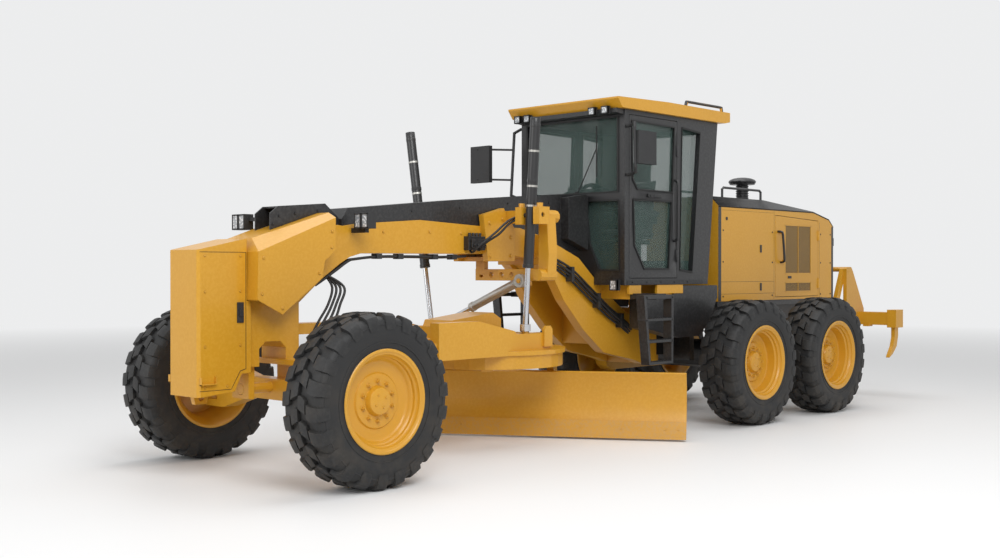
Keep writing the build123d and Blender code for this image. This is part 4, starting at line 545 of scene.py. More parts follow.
def rim_mesh(row, side):
    """A dished wheel with its flanges, drop, disc, hub cap and ring of studs."""
    face = RIM_FACE[row]
    outside = [(0.366, 0.178), (0.376, 0.192), (0.393, 0.198), (0.396, 0.206), (0.388, 0.2120), (0.374, 0.2100),
               (0.364, 0.199), (0.352, 0.196), (0.349, 0.184), (0.345, 0.170), (0.334, 0.160), (0.330, 0.140),
               (0.315, 0.128), (0.310, max(0.09, face + 0.02)), (0.302, face + 0.010), (0.286, face)]
    disc = [(0.215, face), (0.205, face + 0.012), (0.180, face + 0.014), (0.118, face + 0.014),
            (0.112, face + 0.030), (0.100, face + 0.052), (0.086, face + 0.058), (0.0, face + 0.058)]
    back = [(0.0, face - 0.014), (0.290, face - 0.014), (0.306, -0.120), (0.330, -0.150), (0.350, -0.182),
            (0.364, -0.199), (0.374, -0.2100), (0.388, -0.2120), (0.396, -0.206), (0.393, -0.198), (0.376, -0.192),
            (0.366, -0.178), (0.356, 0.0)]
    outline = [(r, side * a) for r, a in outside + disc + back]
    parts = [Shape(local=True).turned(outline, ORIGIN, sides=96).mesh()]
    head = Shape(local=True)
    low, high = face + 0.012, face + 0.046
    # columns: radius, sides, start and end along the axle
    for radius, sides, start, end in ((0.019, 12, low, low + 0.006), (0.0155, 6, low + 0.004, high - 0.014),
                                      (0.0085, 10, high - 0.016, high)):
        head.rod((0, side * start, 0.150), (0, side * end, 0.150), radius, sides)
    parts.append(grown(head.mesh(), RING, Count=STUDS[row], Material=PAINT))
    small = Shape(local=True).rod((0, side * (face + 0.056), 0.055), (0, side * (face + 0.064), 0.055), 0.009, 6)
    parts.append(grown(small.mesh(), RING, Count=4, Phase=0.5, Material=PAINT))
    return joined(parts)


TYRE = tyre_mesh()
for key, hub in WHEELS.items():
    row, side = key.split("_")
    tyre = piece(f"treaded_tyre_{key}", moved(TYRE.copy(), hub), RUBBER, f"wheel_{key}", angle=32)
    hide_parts(f"tyre_{key}")
    dish = moved(rim_mesh(row, dict(SIDES)[side]), hub)
    rim = piece(f"dished_rim_{key}", dish, PAINT, f"wheel_{key}")
    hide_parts(f"rim_{key}")


# ---- cab ----
def split_panes(node, inner, outer):
    """A merged copy of a door node in two meshes: its frame, and its panes by their distance from the middle."""
    source = bmesh.new()
    source.from_mesh(NODES[node].data)
    bmesh.ops.remove_doubles(source, verts=source.verts, dist=1e-5)
    results = []
    for panes in (False, True):
        bm = source.copy()
        spare = [face for face in bm.faces if panes != (
            abs(face.normal.y) > 0.9 and inner < abs(face.calc_center_median().y) < outer)]
        bmesh.ops.delete(bm, geom=spare, context="FACES")
        results.append(mesh_from(bm, "door"))
    source.free()
    return results


for side, sign in SIDES:
    frame_mesh, pane_mesh = split_panes(f"cab_door_{side}", 0.6705, 0.6795)
    leaf = piece(f"door_frame_{side}", frame_mesh, BLACK, f"cab_door_{side}", angle=30)
    panes = piece(f"door_panes_{side}", pane_mesh, GLASS, f"cab_door_{side}", smooth=False)
    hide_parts(f"cab_door_{side}")
    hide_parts(f"cab_door_{side}")


def ring_seal(name, outline, y, body, plane="side", width=0.014):
    """A rubber seal that stands proud round an opening; the outline is in X and Z, or Y and Z across."""
    middle_a = sum(a for a, _ in outline) / len(outline)
    middle_b = sum(b for _, b in outline) / len(outline)
    inner = []
    for a, b in outline:
        way = Vector((middle_a - a, middle_b - b)).normalized() * width * 1.4
        inner.append((a + way.x, b + way.y))
    shape = Shape()
    for k in range(len(outline)):
        n = (k + 1) % len(outline)
        quad = [outline[k], outline[n], inner[n], inner[k]]
        if plane == "side":
            low, high = sorted((y, y + math.copysign(0.008, y)))
            shape.side(quad, low, high)
        else:
            shape.cross(quad, y, y + 0.008)
    return piece(name, shape.mesh(), SEAL, body, smooth=False)


DOOR_PANES = {"upper": [(-3.830, 3.160), (-4.575, 3.150), (-4.540, 2.456), (-3.925, 2.456), (-3.840, 2.560)],
              "lower": [(-3.856, 2.362), (-4.527, 2.369), (-4.474, 1.650), (-4.040, 1.650), (-3.873, 1.888)]}
REAR_PANE = [(-4.705, 3.161), (-5.042, 3.135), (-4.893, 1.613), (-4.665, 1.640)]
CAB_FACE, DOOR_SEAL_Y = -3.7205, 0.6995     # where the seals stand, across the front and along the sides
FOOT_PANE = [(0.172, 2.368), (0.628, 2.359), (0.640, 1.636), (0.370, 1.636), (0.225, 1.924)]
for side, sign in SIDES:
    for level, outline in DOOR_PANES.items():
        ring_seal(f"door_seal_{level}_{side}", outline, sign * DOOR_SEAL_Y, f"cab_door_{side}")
    ring_seal(f"rear_pane_seal_{side}", REAR_PANE, sign * DOOR_SEAL_Y, FRONT)
    ring_seal(f"foot_pane_seal_{side}", [(sign * a, b) for a, b in FOOT_PANE], CAB_FACE, FRONT, "cross")
ring_seal("windscreen_seal", [(-0.628, 2.430), (0.628, 2.430), (0.628, 3.195), (-0.628, 3.195)], CAB_FACE, FRONT,
          "cross", 0.018)


PAD_CUTS = 14


def cushion(centre, half, pinch=0.06, turn=0.0, crown=0.5):
    """A crowned closed pad whose sides pull in between its corners."""
    bm = bmesh.new()
    bmesh.ops.create_cube(bm, size=2.0)
    bmesh.ops.subdivide_edges(bm, edges=bm.edges, cuts=PAD_CUTS, use_grid_fill=True)
    spin = Matrix.Rotation(turn, 4, "Y")
    for v in bm.verts:
        x, y, z = v.co
        pull_x = 1 - pinch * (1 - y * y)
        pull_y = 1 - pinch * (1 - x * x)
        edge = (1 - abs(x) ** 5) ** 0.35 * (1 - abs(y) ** 5) ** 0.35
        swell = z * (crown + (1 - crown) * edge) if z > 0 else z * (0.7 + 0.3 * edge)
        round_in = 1 - 0.10 * z * z
        pulled = Vector((x * pull_x * half[0] * round_in, y * pull_y * half[1] * round_in, swell * half[2]))
        v.co = spin @ pulled + at(*centre)
    return mesh_from(bm, "pad")


def seat_cloth():
    """Dark woven cloth: fine crossed threads over a soft mottle."""
    material = finish("seat_cloth", (0.030, 0.031, 0.034), (0.045, 0.046, 0.050), rough=0.85, bump=0.5, grain=900,
                      wear_and_highlight=0, dust=0)
    tree = material.node_tree
    weave = node(tree, "ShaderNodeTexChecker", {"Scale": 420.0, "Vector": object_place(tree)})
    bump = node(tree, "ShaderNodeBump", {"Strength": 0.4, "Distance": 0.001, "Height": weave.outputs["Fac"]})
    fill(tree, tree.nodes["Principled BSDF"], {"Sheen Weight": 0.25, "Normal": bump.outputs["Normal"]})
    return material


CLOTH = seat_cloth()
# columns: name, middle, half sizes, turn about Y
PADS = [
    ("seat_cushion", (-4.580, 0, 2.030), (0.250, 0.245, 0.062), 0.03),
    ("seat_back", (-4.838, 0, 2.330), (0.062, 0.228, 0.300), -0.13),
    ("seat_head_rest", (-4.910, 0, 2.730), (0.040, 0.145, 0.120), -0.10),
    ("arm_rest_left", (-4.655, 0.296, 2.262), (0.170, 0.032, 0.028), 0.0),
    ("arm_rest_right", (-4.655, -0.296, 2.262), (0.170, 0.032, 0.028), 0.0),
]
seat_base = Shape()
seat_base.box(-4.700, -4.420, -0.170, 0.170, 1.546, 1.930)
seat_base.box(-4.800, -4.360, -0.215, 0.215, 1.925, 1.972)
seat_base.side([(-4.855, 1.99), (-4.925, 2.60), (-4.905, 2.60), (-4.835, 1.99)], -0.20, 0.20)
for sign in (1, -1):
    seat_base.flank(sign, -4.858, -4.800, 0.236, 0.270, 2.150, 2.245)
    seat_base.flank(sign, -4.850, -4.500, 0.275, 0.318, 2.228, 2.240)
base = piece("seat_base", seat_base.mesh(), PLASTIC, FRONT, bevel=0.008)
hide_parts("operator_seat")
for name, place, half, turn in PADS:
    if name in ("seat_back", "seat_head_rest"):
        mesh = cushion((0, 0, 0), (half[2], half[1], half[0]))
        mesh.transform(Matrix.Translation(at(*place)) @ Matrix.Rotation(math.pi / 2 + turn, 4, "Y")
                       @ Matrix.Translation(-at(0, 0, 0)))
    else:
        mesh = cushion(place, half, turn=turn)
    pad = piece(name, mesh, CLOTH, FRONT, angle=80)


# ---- cylinders and lamps ----
def barrel(name, start, end, steps, body, material, bore=0.0, deep=0.0):
    """A turned cylinder; rows of steps are distance along it, radius. A bore runs in from its far end."""
    last = steps[-1][0]
    inside = [(last, bore), (last - deep, bore)] if bore else []
    return piece(name, Shape().tube(start, end, steps + inside).mesh(), material, body, angle=40)


def lamp(name, x, y, z, wide, tall, deep, inner=0.012):
    """A square work lamp that looks forwards: housing with fins behind, bezel and lens."""
    half, up = wide / 2, tall / 2
    shell = Shape()
    shell.box(x - deep * 0.55, x - 0.006, y - half, y + half, z - up, z + up)
    for k in range(5):
        zz = z - up + (k + 0.5) * tall / 5
        shell.box(x - deep, x - deep * 0.5, y - half * 0.85, y + half * 0.85, zz - tall * 0.03, zz + tall * 0.03)
    for a, b, c, d in ((-half, half, -up, -up + inner), (-half, half, up - inner, up),
                       (-half, -half + inner, -up, up), (half - inner, half, -up, up)):
        shell.box(x - 0.008, x + 0.002, y + a, y + b, z + c, z + d)
    piece(f"{name}_housing", shell.mesh(), PLASTIC, FRONT, bevel=0.002)
    face = Shape().box(x - 0.006, x - 0.002, y - half + inner, y + half - inner, z - up + inner, z + up - inner)
    piece(f"{name}_lens", face.mesh(), LENS, FRONT)


for k, (x, y, z) in enumerate(((-0.640, 0.350, 2.057), (0.096, -0.350, 2.044))):
    for n in (-1, 1):
        lamp(f"head_lamp_{k + 1}_{'inner' if n < 0 else 'outer'}", x + 0.0485, y + n * 0.045, z, 0.084, 0.128, 0.09)
for k, y in enumerate((0.573, 0.406, -0.476, -0.610)):
    lamp(f"roof_lamp_{k + 1}", -3.5475, y, 3.245, 0.084, 0.080, 0.048)
for side, sign in SIDES:
    lamp(f"step_lamp_{side}", -3.6575, sign * 0.600, 1.495, 0.090, 0.110, 0.058)


def along(start, end, distance):
    start, end = Vector(start), Vector(end)
    return tuple(start + (end - start).normalized() * distance)


LIFT_TUBE = [(0.000, 0.040), (0.012, 0.0475), (0.060, 0.0475), (0.062, 0.0495), (0.085, 0.0495), (0.087, 0.0475),
             (1.345, 0.0475), (1.347, 0.0520), (1.375, 0.0520), (1.379, 0.046), (1.3815, 0.040)]
BAND_WIDE, BAND_INSIDE, BAND_OUTSIDE = 0.018, 0.0465, 0.0495
for side, sign in SIDES:
    top = (-2.320, sign * 0.750 - 0.050, 2.150)
    foot = (-2.320, sign * 0.630, 1.110)
    up = along(top, foot, -0.895)
    body = f"lift_barrel_{side}"
    barrel(f"lift_tube_{side}", up, foot, LIFT_TUBE, body, BLACK, bore=0.0275, deep=1.300)
    bands = Shape()
    for d in (0.30, 0.62, 0.80):
        bands.tube(up, foot, [(d, BAND_INSIDE), (d, BAND_OUTSIDE), (d + BAND_WIDE, BAND_OUTSIDE),
                              (d + BAND_WIDE, BAND_INSIDE)], ring=True)
    piece(f"lift_clamps_{side}", bands.mesh(), STEEL, body, angle=40)
    barrel(f"lift_rod_polished_{side}", along(foot, top, 0.560), foot, [(0.0, 0.0254), (0.555, 0.0254)],
           f"lift_rod_{side}", CHROME)

SHIFT_TOP, SHIFT_FOOT = (-2.430, 0.470, 1.545), (-2.430, -0.490, 1.155)
barrel("shift_tube", along(SHIFT_TOP, SHIFT_FOOT, 0.060), SHIFT_FOOT, [
    (0.0, 0.036), (0.014, 0.0425), (0.600, 0.0425), (0.602, 0.0470), (0.638, 0.0470)], "shift_barrel", STEEL,
       bore=0.0265, deep=0.600)
barrel("shift_rod_polished", along(SHIFT_TOP, SHIFT_FOOT, 0.420), SHIFT_FOOT,
       [(0.0, 0.0244), (0.575, 0.0244)], "shift_rod", CHROME)


# ---- hoses ----
# columns: name, radius, points from the front axle's station
HOSES = [
    ("lift_hose_left_a", 0.011, [(-2.16, 0.170, 1.86), (-2.12, 0.230, 1.83), (-2.14, 0.300, 1.90),
                                 (-2.22, 0.390, 1.98), (-2.30, 0.450, 2.08), (-2.36, 0.500, 2.12)]),
    ("lift_hose_left_b", 0.011, [(-2.05, 0.170, 1.85), (-2.02, 0.240, 1.81), (-2.05, 0.320, 1.88),
                                 (-2.16, 0.400, 1.99), (-2.28, 0.450, 2.10), (-2.38, 0.500, 2.15)]),
    ("lift_hose_right_a", 0.011, [(-2.16, -0.170, 1.86), (-2.12, -0.230, 1.83), (-2.14, -0.300, 1.90),
                                  (-2.22, -0.400, 2.02), (-2.30, -0.480, 2.16), (-2.36, -0.560, 2.22)]),
    ("beam_hose_a", 0.012, [
        (-2.02, 0.150, 1.775), (-1.70, 0.152, 1.765), (-1.30, 0.150, 1.766), (-0.95, 0.150, 1.762),
        (-0.70, 0.150, 1.74), (-0.62, 0.150, 1.722), (-0.48, 0.150, 1.640), (-0.36, 0.150, 1.570),
        (-0.27, 0.150, 1.520)]),
    ("beam_hose_b", 0.012, [
        (-2.02, 0.120, 1.772), (-1.70, 0.122, 1.762), (-1.30, 0.120, 1.763), (-0.95, 0.120, 1.760),
        (-0.70, 0.120, 1.738), (-0.62, 0.120, 1.722), (-0.48, 0.120, 1.640), (-0.36, 0.120, 1.570),
        (-0.27, 0.120, 1.520)]),
]
for k in range(4):
    y = 0.185 + 0.028 * k
    HOSES.append((f"steer_hose_{k + 1}", 0.011, [
        (-0.40, 0.120 + 0.01 * k, 1.60), (-0.42 - 0.02 * k, y, 1.50), (-0.36 - 0.02 * k, y + 0.02, 1.36),
        (-0.26 - 0.03 * k, y + 0.02, 1.22), (-0.20, y, 1.10), (-0.16, y - 0.02, 1.00)]))
for k in range(5):
    y = 0.325 + 0.022 * (k % 3)
    HOSES.append((f"leg_hose_{k + 1}", 0.012, [
        (-2.95, 0.180, 1.735 + 0.018 * k), (-3.05, y - 0.06, 1.70 + 0.02 * k), (-3.30, y, 1.56 + 0.026 * k),
        (-3.60, y + 0.01, 1.36 + 0.026 * k), (-3.90, y + 0.01, 1.17 + 0.024 * k), (-4.15, y, 1.05 + 0.02 * k),
        (-4.30, y - 0.03, 0.98 + 0.02 * k)]))
for name, radius, points in HOSES:
    pipe(name, points, radius, FRONT)

straps = Shape()
for x, z in ((-3.30, 1.605), (-3.72, 1.335), (-4.10, 1.120)):
    straps.box(x - 0.020, x + 0.020, 0.3003, 0.385, z - 0.075, z + 0.075)
piece("leg_hose_straps", straps.mesh(), BLACK_STEEL, FRONT, bevel=0.004)

valve = Shape()
valve.box(-2.20, -1.98, 0.1665, 0.235, 1.830, 1.960)
valve.box(-2.18, -2.00, 0.235, 0.262, 1.850, 1.935)
for k in range(4):
    x = -2.16 + 0.045 * k
    valve.rod((x, 0.200, 1.960), (x, 0.200, 1.992), 0.015, 12)
    valve.rod((x, 0.262, 1.875), (x, 0.280, 1.875), 0.013, 6)
piece("valve_block", valve.mesh(), BLACK_STEEL, FRONT, bevel=0.004)
clamps = Shape()
for x in (-0.95, -1.20, -1.62, -1.86):
    clamps.box(x - 0.030, x + 0.030, 0.095, 0.175, 1.742, 1.7895)
piece("beam_hose_clamps", clamps.mesh(), BLACK_STEEL, FRONT, bevel=0.004)


# ---- nose box, covers and beam ----
NOSE_SIDE = 0.205
SEAM_PROUD = 0.0025
# columns: name, distance from the middle, radius, depth, material, places in X and Z
FRAME_BOLTS = [
    ("nose", NOSE_SIDE, 0.009, 0.006, PAINT, [(0.62, 0.750), (0.50, 1.060), (0.50, 1.480), (0.50, 1.755),
                                              (0.82, 0.750), (0.82, 1.060), (0.82, 1.480), (0.82, 1.755)]),
    ("cover", 0.349, 0.011, 0.008, PAINT, [(0.385, 1.740), (0.400, 1.460), (0.205, 1.345), (-0.160, 1.620),
                                           (-0.285, 1.830), (-0.290, 1.960)]),
    ("top_plate", 0.108, 0.012, 0.009, BLACK_STEEL, [(-0.335, 2.140), (-0.100, 2.110), (0.060, 2.085),
                                                     (-0.480, 2.105), (0.120, 2.020)]),
    ("hose_cover", 0.150, 0.010, 0.007, BLACK_STEEL, [(-0.80, 2.120), (-1.35, 2.170), (-1.95, 2.220),
                                                      (-2.60, 2.290), (-3.20, 2.320)]),
    ("beam", 0.166, 0.012, 0.009, PAINT, [(-1.00, 1.980), (-1.55, 1.990), (-1.95, 1.985), (-2.44, 1.960),
                                          (-2.86, 1.930)]),
    ("saddle", 0.230, 0.016, 0.012, PAINT, [(-2.555, 1.780), (-2.555, 1.960), (-2.440, 2.130), (-2.260, 2.090),
                                            (-2.270, 1.780)]),
]
for side, sign in SIDES:
    latch = Shape()
    latch.flank(sign, 0.475, 0.535, NOSE_SIDE, 0.216, 1.235, 1.395)
    latch.flank(sign, 0.490, 0.520, 0.216, 0.226, 1.285, 1.345)
    piece(f"nose_latch_{side}", latch.mesh(), BLACK_STEEL, FRONT, bevel=0.003)
    seam = Shape()
    # columns: ends in X, ends in Z
    for x0, x1, z0, z1 in ((0.868, 0.450, 1.782, 1.785), (0.868, 0.585, 0.722, 0.725),
                           (0.450, 0.453, 0.872, 1.785)):
        seam.flank(sign, x0, x1, NOSE_SIDE, NOSE_SIDE + SEAM_PROUD, z0, z1)
    seam.side([(0.585, 0.722), (0.585, 0.726), (0.505, 0.862), (0.453, 0.875), (0.450, 0.872), (0.503, 0.858)],
              sign * NOSE_SIDE, sign * (NOSE_SIDE + SEAM_PROUD))
    piece(f"nose_seam_{side}", seam.mesh(), SEAL, FRONT, smooth=False)
    bracket = Shape()
    for x0, x1, z1 in ((0.730, 0.870, 0.778), (0.730, 0.738, 0.830), (0.862, 0.870, 0.830)):
        bracket.flank(sign, x0, x1, NOSE_SIDE, 0.235, 0.770, z1)
    piece(f"nose_bracket_{side}", bracket.mesh(), PAINT, FRONT, bevel=0.002)
    for name, face, radius, depth, material, places in FRAME_BOLTS:
        side_bolts(f"{name}_bolts_{side}", sign, face, places, FRONT, radius, depth, material)
    ring = [((-2.410, sign * 0.630 + 0.038 * math.cos(t), 2.150 + 0.038 * math.sin(t)), (1, 0, 0))
            for t in (TURN / 4 * k for k in range(4))]
    bolts(f"boss_bolts_{side}", ring, FRONT, 0.009, 0.008)


# ---- blade ----
def blade_fasteners():
    """Flush bolts along the cutting edge, two of them close together near each end."""
    ahead, way = Vector((0.847122, 0.531399, 0)), Vector((0.531399, -0.847122, 0))
    edge_mesh = NODES["cutting_edge"].data
    front = max((f for f in edge_mesh.polygons if f.normal.dot(ahead) > 0.7), key=lambda f: f.area)
    spots = [v.co.dot(way) for v in edge_mesh.vertices]
    low, high = min(spots), max(spots)
    z = sum(v.co.z for v in edge_mesh.vertices) / len(edge_mesh.vertices) + 0.015
    rows = []
    for share in (0.02, 0.055, 0.17, 0.28, 0.39, 0.50, 0.61, 0.72, 0.83, 0.945, 0.98):
        point = way * (low + (high - low) * share) + Vector((0, 0, z))
        point += ahead * (front.normal.dot(front.center - point) / front.normal.dot(ahead))
        rows.append(((point.x - AXLE_X, point.y, point.z), tuple(front.normal)))
    bolts("blade_edge_bolts", rows, "blade", 0.013, 0.006, EDGE_STEEL)


blade_fasteners()


# ---- cab fittings ----
CAB_SIDE = 0.700
pipe("wiper_arm", [(-3.724, 0.060, 2.440), (-3.742, 0.090, 2.480), (-3.744, 0.300, 2.860), (-3.738, 0.330, 2.900)],
     0.006, FRONT, BLACK_STEEL, 8)
wiper = Shape()
wiper.box(-3.736, -3.728, 0.322, 0.336, 2.60, 3.12)
wiper.rod((-3.722, 0.060, 2.440), (-3.752, 0.060, 2.440), 0.020, 16)
piece("wiper_blade", wiper.mesh(), SEAL, FRONT, bevel=0.001)
# columns: distance from the middle, height
DOOR_GRAB = [(CAB_SIDE, 1.950), (0.738, 1.962), (0.750, 1.995), (0.750, 2.260), (0.750, 2.545), (0.738, 2.578),
             (CAB_SIDE, 2.590)]
for side, sign in SIDES:
    body = f"cab_door_{side}"
    grip = Shape()
    grip.flank(sign, -4.300, -4.080, CAB_SIDE, 0.733, 2.388, 2.428)
    grip.flank(sign, -4.270, -4.170, 0.733, 0.741, 2.396, 2.420)
    grip.rod((-4.115, sign * 0.733, 2.408), (-4.115, sign * 0.742, 2.408), 0.012, 16)
    piece(f"door_handle_{side}", grip.mesh(), BLACK_STEEL, body, bevel=0.004)
    pipe(f"door_grab_{side}", [(-4.565, sign * y, z) for y, z in DOOR_GRAB], 0.0135, body, BLACK, 16)
    sill = Shape().flank(sign, -5.10, -3.76, CAB_SIDE, 0.704, 1.500, 1.545)
    piece(f"cab_sill_{side}", sill.mesh(), BLACK_STEEL, FRONT, bevel=0.001)
    side_bolts(f"sill_bolts_{side}", sign, 0.704, [(-3.85 - 0.24 * k, 1.522) for k in range(5)], FRONT,
               0.009, 0.006, BLACK_STEEL)
head = Shape().box(-3.856, -3.574, 0.936, 0.985, 2.694, 3.011)
piece("mirror_head_left", head.mesh(), PLASTIC, FRONT, bevel=0.022)
levers = Shape()
for y, x in ((0.24, -4.12), (0.29, -4.16), (-0.24, -4.12), (-0.29, -4.16)):
    levers.rod((x, y, 2.36), (x - 0.03, y, 2.50), 0.006, 8)
    levers.rod((x - 0.030, y, 2.495), (x - 0.036, y, 2.540), 0.016, 12)
for _, sign in SIDES:
    levers.flank(sign, -4.20, -4.02, 0.20, 0.33, 2.30, 2.37)
piece("control_levers", levers.mesh(), PLASTIC, FRONT, bevel=0.003)
GRIP, WHEEL_RADIUS = 0.013, 0.188
rim_wheel = Shape().turned([(WHEEL_RADIUS + GRIP * math.cos(t), GRIP * math.sin(t))
                            for t in (TURN * k / 10 for k in range(10))], ORIGIN, 40, "Z")
wheel_mesh = rim_wheel.mesh()
wheel_mesh.transform(Matrix.Translation(at(-4.200, 0, 2.463)) @ Matrix.Rotation(math.radians(-28), 4, "Y"))
piece("steering_wheel_rim", wheel_mesh, PLASTIC, FRONT)
RAIL_Y, RAIL_FOOT = 0.700, 3.372
pipe("roof_rail", [(x, RAIL_Y, z) for x, z in (
    (-4.772, RAIL_FOOT), (-4.776, 3.418), (-4.788, 3.434), (-4.810, 3.4385), (-5.110, 3.4385), (-5.430, 3.4385),
    (-5.452, 3.434), (-5.461, 3.418), (-5.464, RAIL_FOOT))], 0.0148, FRONT, BLACK, 16)


# ---- hood ----
HOOD_TOP = [(-5.700, 2.486), (-6.820, 2.486), (-7.840, 2.378), (-8.231, 2.295), (-8.345, 2.205)]
HOOD_HALF, SHOULDER_Z, SHOULDER_SLOPE = 0.500, 2.375, 0.110 / 0.111


def hood_top_cover():
    """The black sheet over the hood's top and its two bevelled shoulders."""
    shape = Shape()
    rows = []
    for x, z in HOOD_TOP:
        slope_y = HOOD_HALF - max(0.0, z - SHOULDER_Z) * SHOULDER_SLOPE
        shoulder = min(z, SHOULDER_Z)
        outer = [(HOOD_HALF + LIFT, shoulder - 0.012), (HOOD_HALF + LIFT, shoulder + LIFT),
                 (slope_y + LIFT / 2, z + LIFT)]
        line = outer + [(-y, level) for y, level in reversed(outer)]
        rows.append([shape.bm.verts.new(at(x, y, level)) for y, level in line])
    shape.skin(rows, around=False)
    return shape.mesh()


cover = piece("hood_top_cover", hood_top_cover(), BLACK, REAR, angle=20)
thick = cover.modifiers.new("sheet", "SOLIDIFY")
thick.thickness = 0.0015
thick.offset = 1.0
# columns: ends in X, ends in Z
HOOD_SEAMS = [(-5.760, -6.900, 1.511, 1.514), (-5.760, -6.900, 1.371, 1.374), (-6.899, -6.902, 1.30, 2.37),
              (-7.990, -7.993, 1.30, 2.25), (-5.775, -6.885, 2.330, 2.332)]
# columns: place in X, distance from the middle, height
DOOR_PULL = [(-6.990, 0.498, 2.112), (-6.992, 0.545, 2.108), (-7.004, 0.557, 2.085), (-7.030, 0.557, 1.930),
             (-7.045, 0.557, 1.775), (-7.050, 0.545, 1.750), (-7.050, 0.498, 1.742)]
for side, sign in SIDES:
    posts = Shape().flank(sign, -5.760, -5.7005, HOOD_HALF, HOOD_HALF + LIFT, 1.292, 2.372)
    posts.flank(sign, -8.346, -8.300, 0.460, HOOD_HALF + LIFT, 1.292, 2.200)
    piece(f"hood_black_posts_{side}", posts.mesh(), BLACK, REAR, bevel=0.0005)
    seams = Shape()
    for x0, x1, z0, z1 in HOOD_SEAMS:
        seams.flank(sign, x0, x1, 0.4995, 0.5006, z0, z1)
    piece(f"hood_seams_{side}", seams.mesh(), SEAL, REAR, smooth=False)
    latches = Shape()
    for x, z in ((-6.60, 1.90), (-6.60, 1.45)):
        latches.flank(sign, x - 0.018, x + 0.018, HOOD_HALF, 0.507, z - 0.045, z + 0.045)
    latches.rod((-5.87, sign * HOOD_HALF, 2.235), (-5.87, sign * 0.506, 2.235), 0.020, 24)
    piece(f"hood_latches_{side}", latches.mesh(), BLACK_STEEL, REAR, bevel=0.002)
    screws = [(x, z) for x in (-5.80, -6.86, -8.02, -8.27) for z in (1.345, 1.74, 2.10)]
    side_bolts(f"hood_screws_{side}", sign, HOOD_HALF, screws, REAR, 0.008, 0.005, BLACK_STEEL)
    body = f"engine_door_{side}"
    for level, z0, z1 in (("lower", 1.380, 1.500), ("upper", 1.600, 2.200)):
        sheet = Shape().flank(sign, -7.780, -7.160, 0.4925, 0.4955, z0, z1)
        piece(f"grille_sheet_{level}_{side}", sheet.mesh(), GRILLE, body, smooth=False)
        border = Shape()
        for x0, x1, a, b in ((-7.786, -7.772, z0, z1), (-7.168, -7.154, z0, z1), (-7.786, -7.154, z0, z0 + 0.012),
                             (-7.786, -7.154, z1 - 0.012, z1), (-7.474, -7.466, z0, z1)):
            border.flank(sign, x0, x1, 0.494, 0.501, a, b)
        piece(f"grille_frame_{level}_{side}", border.mesh(), PAINT, body, bevel=0.0012)
    pipe(f"engine_door_handle_{side}", [(x, sign * y, z) for x, y, z in DOOR_PULL], 0.0145, body, BLACK, 16)
    latch = Shape().flank(sign, -7.30, -7.22, HOOD_HALF, 0.508, 1.545, 1.575)
    piece(f"engine_door_latch_{side}", latch.mesh(), BLACK_STEEL, body, bevel=0.003)
    tail = Shape().flank(sign, -8.425, -8.4205, 0.340, 0.460, 1.970, 2.050)
    piece(f"tail_lens_{side}", tail.mesh(), RED_LENS, REAR, bevel=0.001)
STEM_FOOT = at(-6.860, 0.080, 2.4865)
stem = Shape().turned([(0.0, 0.214), (0.070, 0.214), (0.070, 0.0), (0.0, 0.0)], STEM_FOOT, 40, "Z")
for k in range(6):
    z = 0.030 + 0.028 * k
    stem.turned([(0.068, z), (0.078, z + 0.006), (0.078, z + 0.014), (0.068, z + 0.020)], STEM_FOOT, 40, "Z")
piece("pre_cleaner_stem", stem.mesh(), BLACK, REAR)
bowl = Shape().turned([(0.0, 0.0), (0.120, 0.002), (0.152, 0.012), (0.166, 0.028), (0.166, 0.040), (0.150, 0.058),
                       (0.112, 0.074), (0.060, 0.084), (0.0, 0.087)], at(-6.860, 0.080, 2.690), 48, "Z")
piece("pre_cleaner_cap", bowl.mesh(), BLACK, REAR)
stack = Shape().turned([(0.0, 0.0), (0.063, 0.0), (0.063, 0.430), (0.056, 0.430), (0.054, 0.38), (0.0, 0.38)],
                       at(-6.500, -0.200, 2.4865), 40, "Z")
piece("exhaust_stack", stack.mesh(), BLACK, REAR)


# ---- ladder, cab mounts and ripper ----
for side, sign in SIDES:
    stud = Shape().rod((-3.72, sign * 0.945, 0.736), (-3.72, sign * 0.945, 0.741), 0.007, 8)
    line = grown(stud.mesh(), ROW, Count=14, Step=(-0.026, 0.0, 0.0), Material=BLACK_STEEL)
    lines = [moved(line.copy(), (0.0, sign * 0.035 * j, 0.215 * k)) for k in range(3) for j in range(3)]
    piece(f"ladder_studs_{side}", joined(lines), BLACK_STEEL, FRONT)
    rail_bolts = [(x, z) for x in (-3.655, -4.080) for z in (1.375, 1.150, 0.940)]
    side_bolts(f"ladder_bolts_{side}", sign, 1.030, rail_bolts, FRONT, 0.010, 0.007, BLACK_STEEL)
    mounts = Shape()
    for x0, x1 in ((-4.004, -3.805), (-4.740, -4.277)):
        mounts.flank(sign, x0, x1, 0.6605, 0.695, 1.400, 1.494)
    piece(f"cab_mounts_{side}", mounts.mesh(), PAINT, FRONT, bevel=0.004)
for side, sign in SIDES:
    for z, body in ((1.250, "ripper_upper_links"), (0.750, "ripper_lower_links")):
        pin = Shape().rod((-8.420, sign * 0.5305, z), (-8.420, sign * 0.540, z), 0.030, 24)
        piece(f"{body}_pin_{side}", pin.mesh(), STEEL, body, bevel=0.002)


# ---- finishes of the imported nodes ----
FINISHES = {"machine_paint": PAINT, "black_paint": BLACK, "tyre": RUBBER, "glass": GLASS, "rod_chrome": CHROME,
            "bare_steel": STEEL, "seat_cloth": CLOTH, "cab_plastic": PLASTIC, "lamp_housing": PLASTIC,
            "engine_iron": CAST}
OWN_FINISH = {"moldboard": PAINT, "cutting_edge": EDGE_STEEL, "shift_barrel": STEEL, "mirrors": PLASTIC}
for row in frame["record"]["subparts"]:
    item = NODES[row["node"]]
    material = OWN_FINISH.get(row["node"], FINISHES[row["material_slot"]])
    if not item.material_slots:
        item.data.materials.append(material)
    for slot in item.material_slots:
        slot.material = material


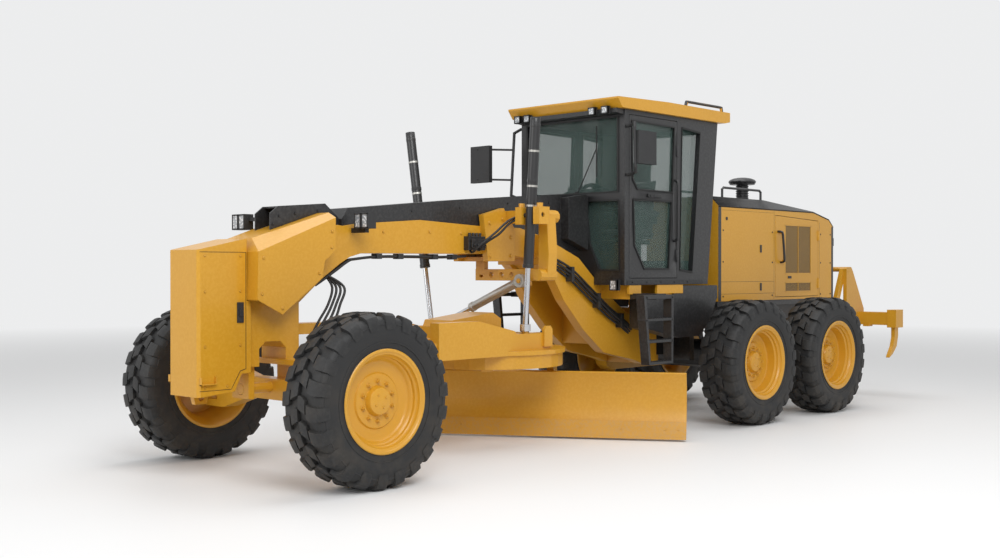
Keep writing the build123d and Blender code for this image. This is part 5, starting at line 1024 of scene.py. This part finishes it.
# ---- stage, light and camera ----
def seen_by(tree, plain, shown):
    """A strength that is plain for light on the machine and shown for what the eye, metal and glass see."""
    path = node(tree, "ShaderNodeLightPath").outputs
    either = math_node(tree, "MAXIMUM", path["Is Camera Ray"], path["Is Glossy Ray"])
    either = math_node(tree, "MAXIMUM", either, path["Is Transmission Ray"])
    return node(tree, "ShaderNodeMapRange", {"Value": either, "To Min": plain, "To Max": shown}).outputs["Result"]


PALE = (0.86, 0.865, 0.87, 1)
world = bpy.data.worlds.new("studio")
bpy.context.scene.world = world
world.use_nodes = True
sky = world.node_tree.nodes["Background"]
fill(world.node_tree, sky, {"Color": PALE, "Strength": seen_by(world.node_tree, 0.50, 0.98)})

ground = bpy.data.meshes.new("ground")
ground.from_pydata([(x * 60, y * 60, 0) for x, y in ((-1, -1), (1, -1), (1, 1), (-1, 1))], [], [(0, 1, 2, 3)])
floor = bpy.data.objects.new("studio_floor", ground)
bpy.context.scene.collection.objects.link(floor)
pale, tree, shader = new_material("pale_floor")
fill(tree, shader, {"Base Color": (0.83, 0.83, 0.83, 1), "Roughness": 0.55, "Specular IOR Level": 0.2,
                    "Emission Color": PALE})
distance = node(tree, "ShaderNodeVectorMath", {0: object_place(tree)}, operation="LENGTH").outputs["Value"]
glow = node(tree, "ShaderNodeEmission", {"Color": PALE, "Strength": 0.98})
both = node(tree, "ShaderNodeMixShader", {
    0: spread(tree, distance, 7.0, 26.0), 1: shader.outputs[0], 2: glow.outputs[0]})
fill(tree, tree.nodes["Material Output"], {"Surface": both.outputs[0]})
ground.materials.append(pale)


def soft_box(name, place, aim, size, power):
    """A large square lamp aimed at a point."""
    data = bpy.data.lights.new(name, "AREA")
    data.shape = "RECTANGLE"
    data.size, data.size_y = size
    data.energy = power
    item = bpy.data.objects.new(name, data)
    bpy.context.scene.collection.objects.link(item)
    item.location = place
    item.rotation_euler = (Vector(aim) - Vector(place)).to_track_quat("-Z", "Y").to_euler()


soft_box("key_light", (7.5, 9.5, 9.0), (0, 0, 1.0), (7.0, 7.0), 980)
soft_box("fill_light", (13.0, -3.0, 5.0), (1.0, 0, 1.3), (7.0, 5.0), 300)
soft_box("top_light", (-1.0, 0.0, 11.0), (0, 0, 0), (12.0, 8.0), 620)

camera_data = bpy.data.cameras.new("camera")
camera_data.lens = 43.746
camera_data.sensor_width = 36.0
camera = bpy.data.objects.new("camera", camera_data)
bpy.context.scene.collection.objects.link(camera)
camera.location = (10.0485, 8.185, 1.6415)
camera.rotation_euler = (math.radians(89.6), 0, math.radians(-226.43))
bpy.context.scene.camera = camera
bpy.context.scene.view_settings.view_transform = "Standard"
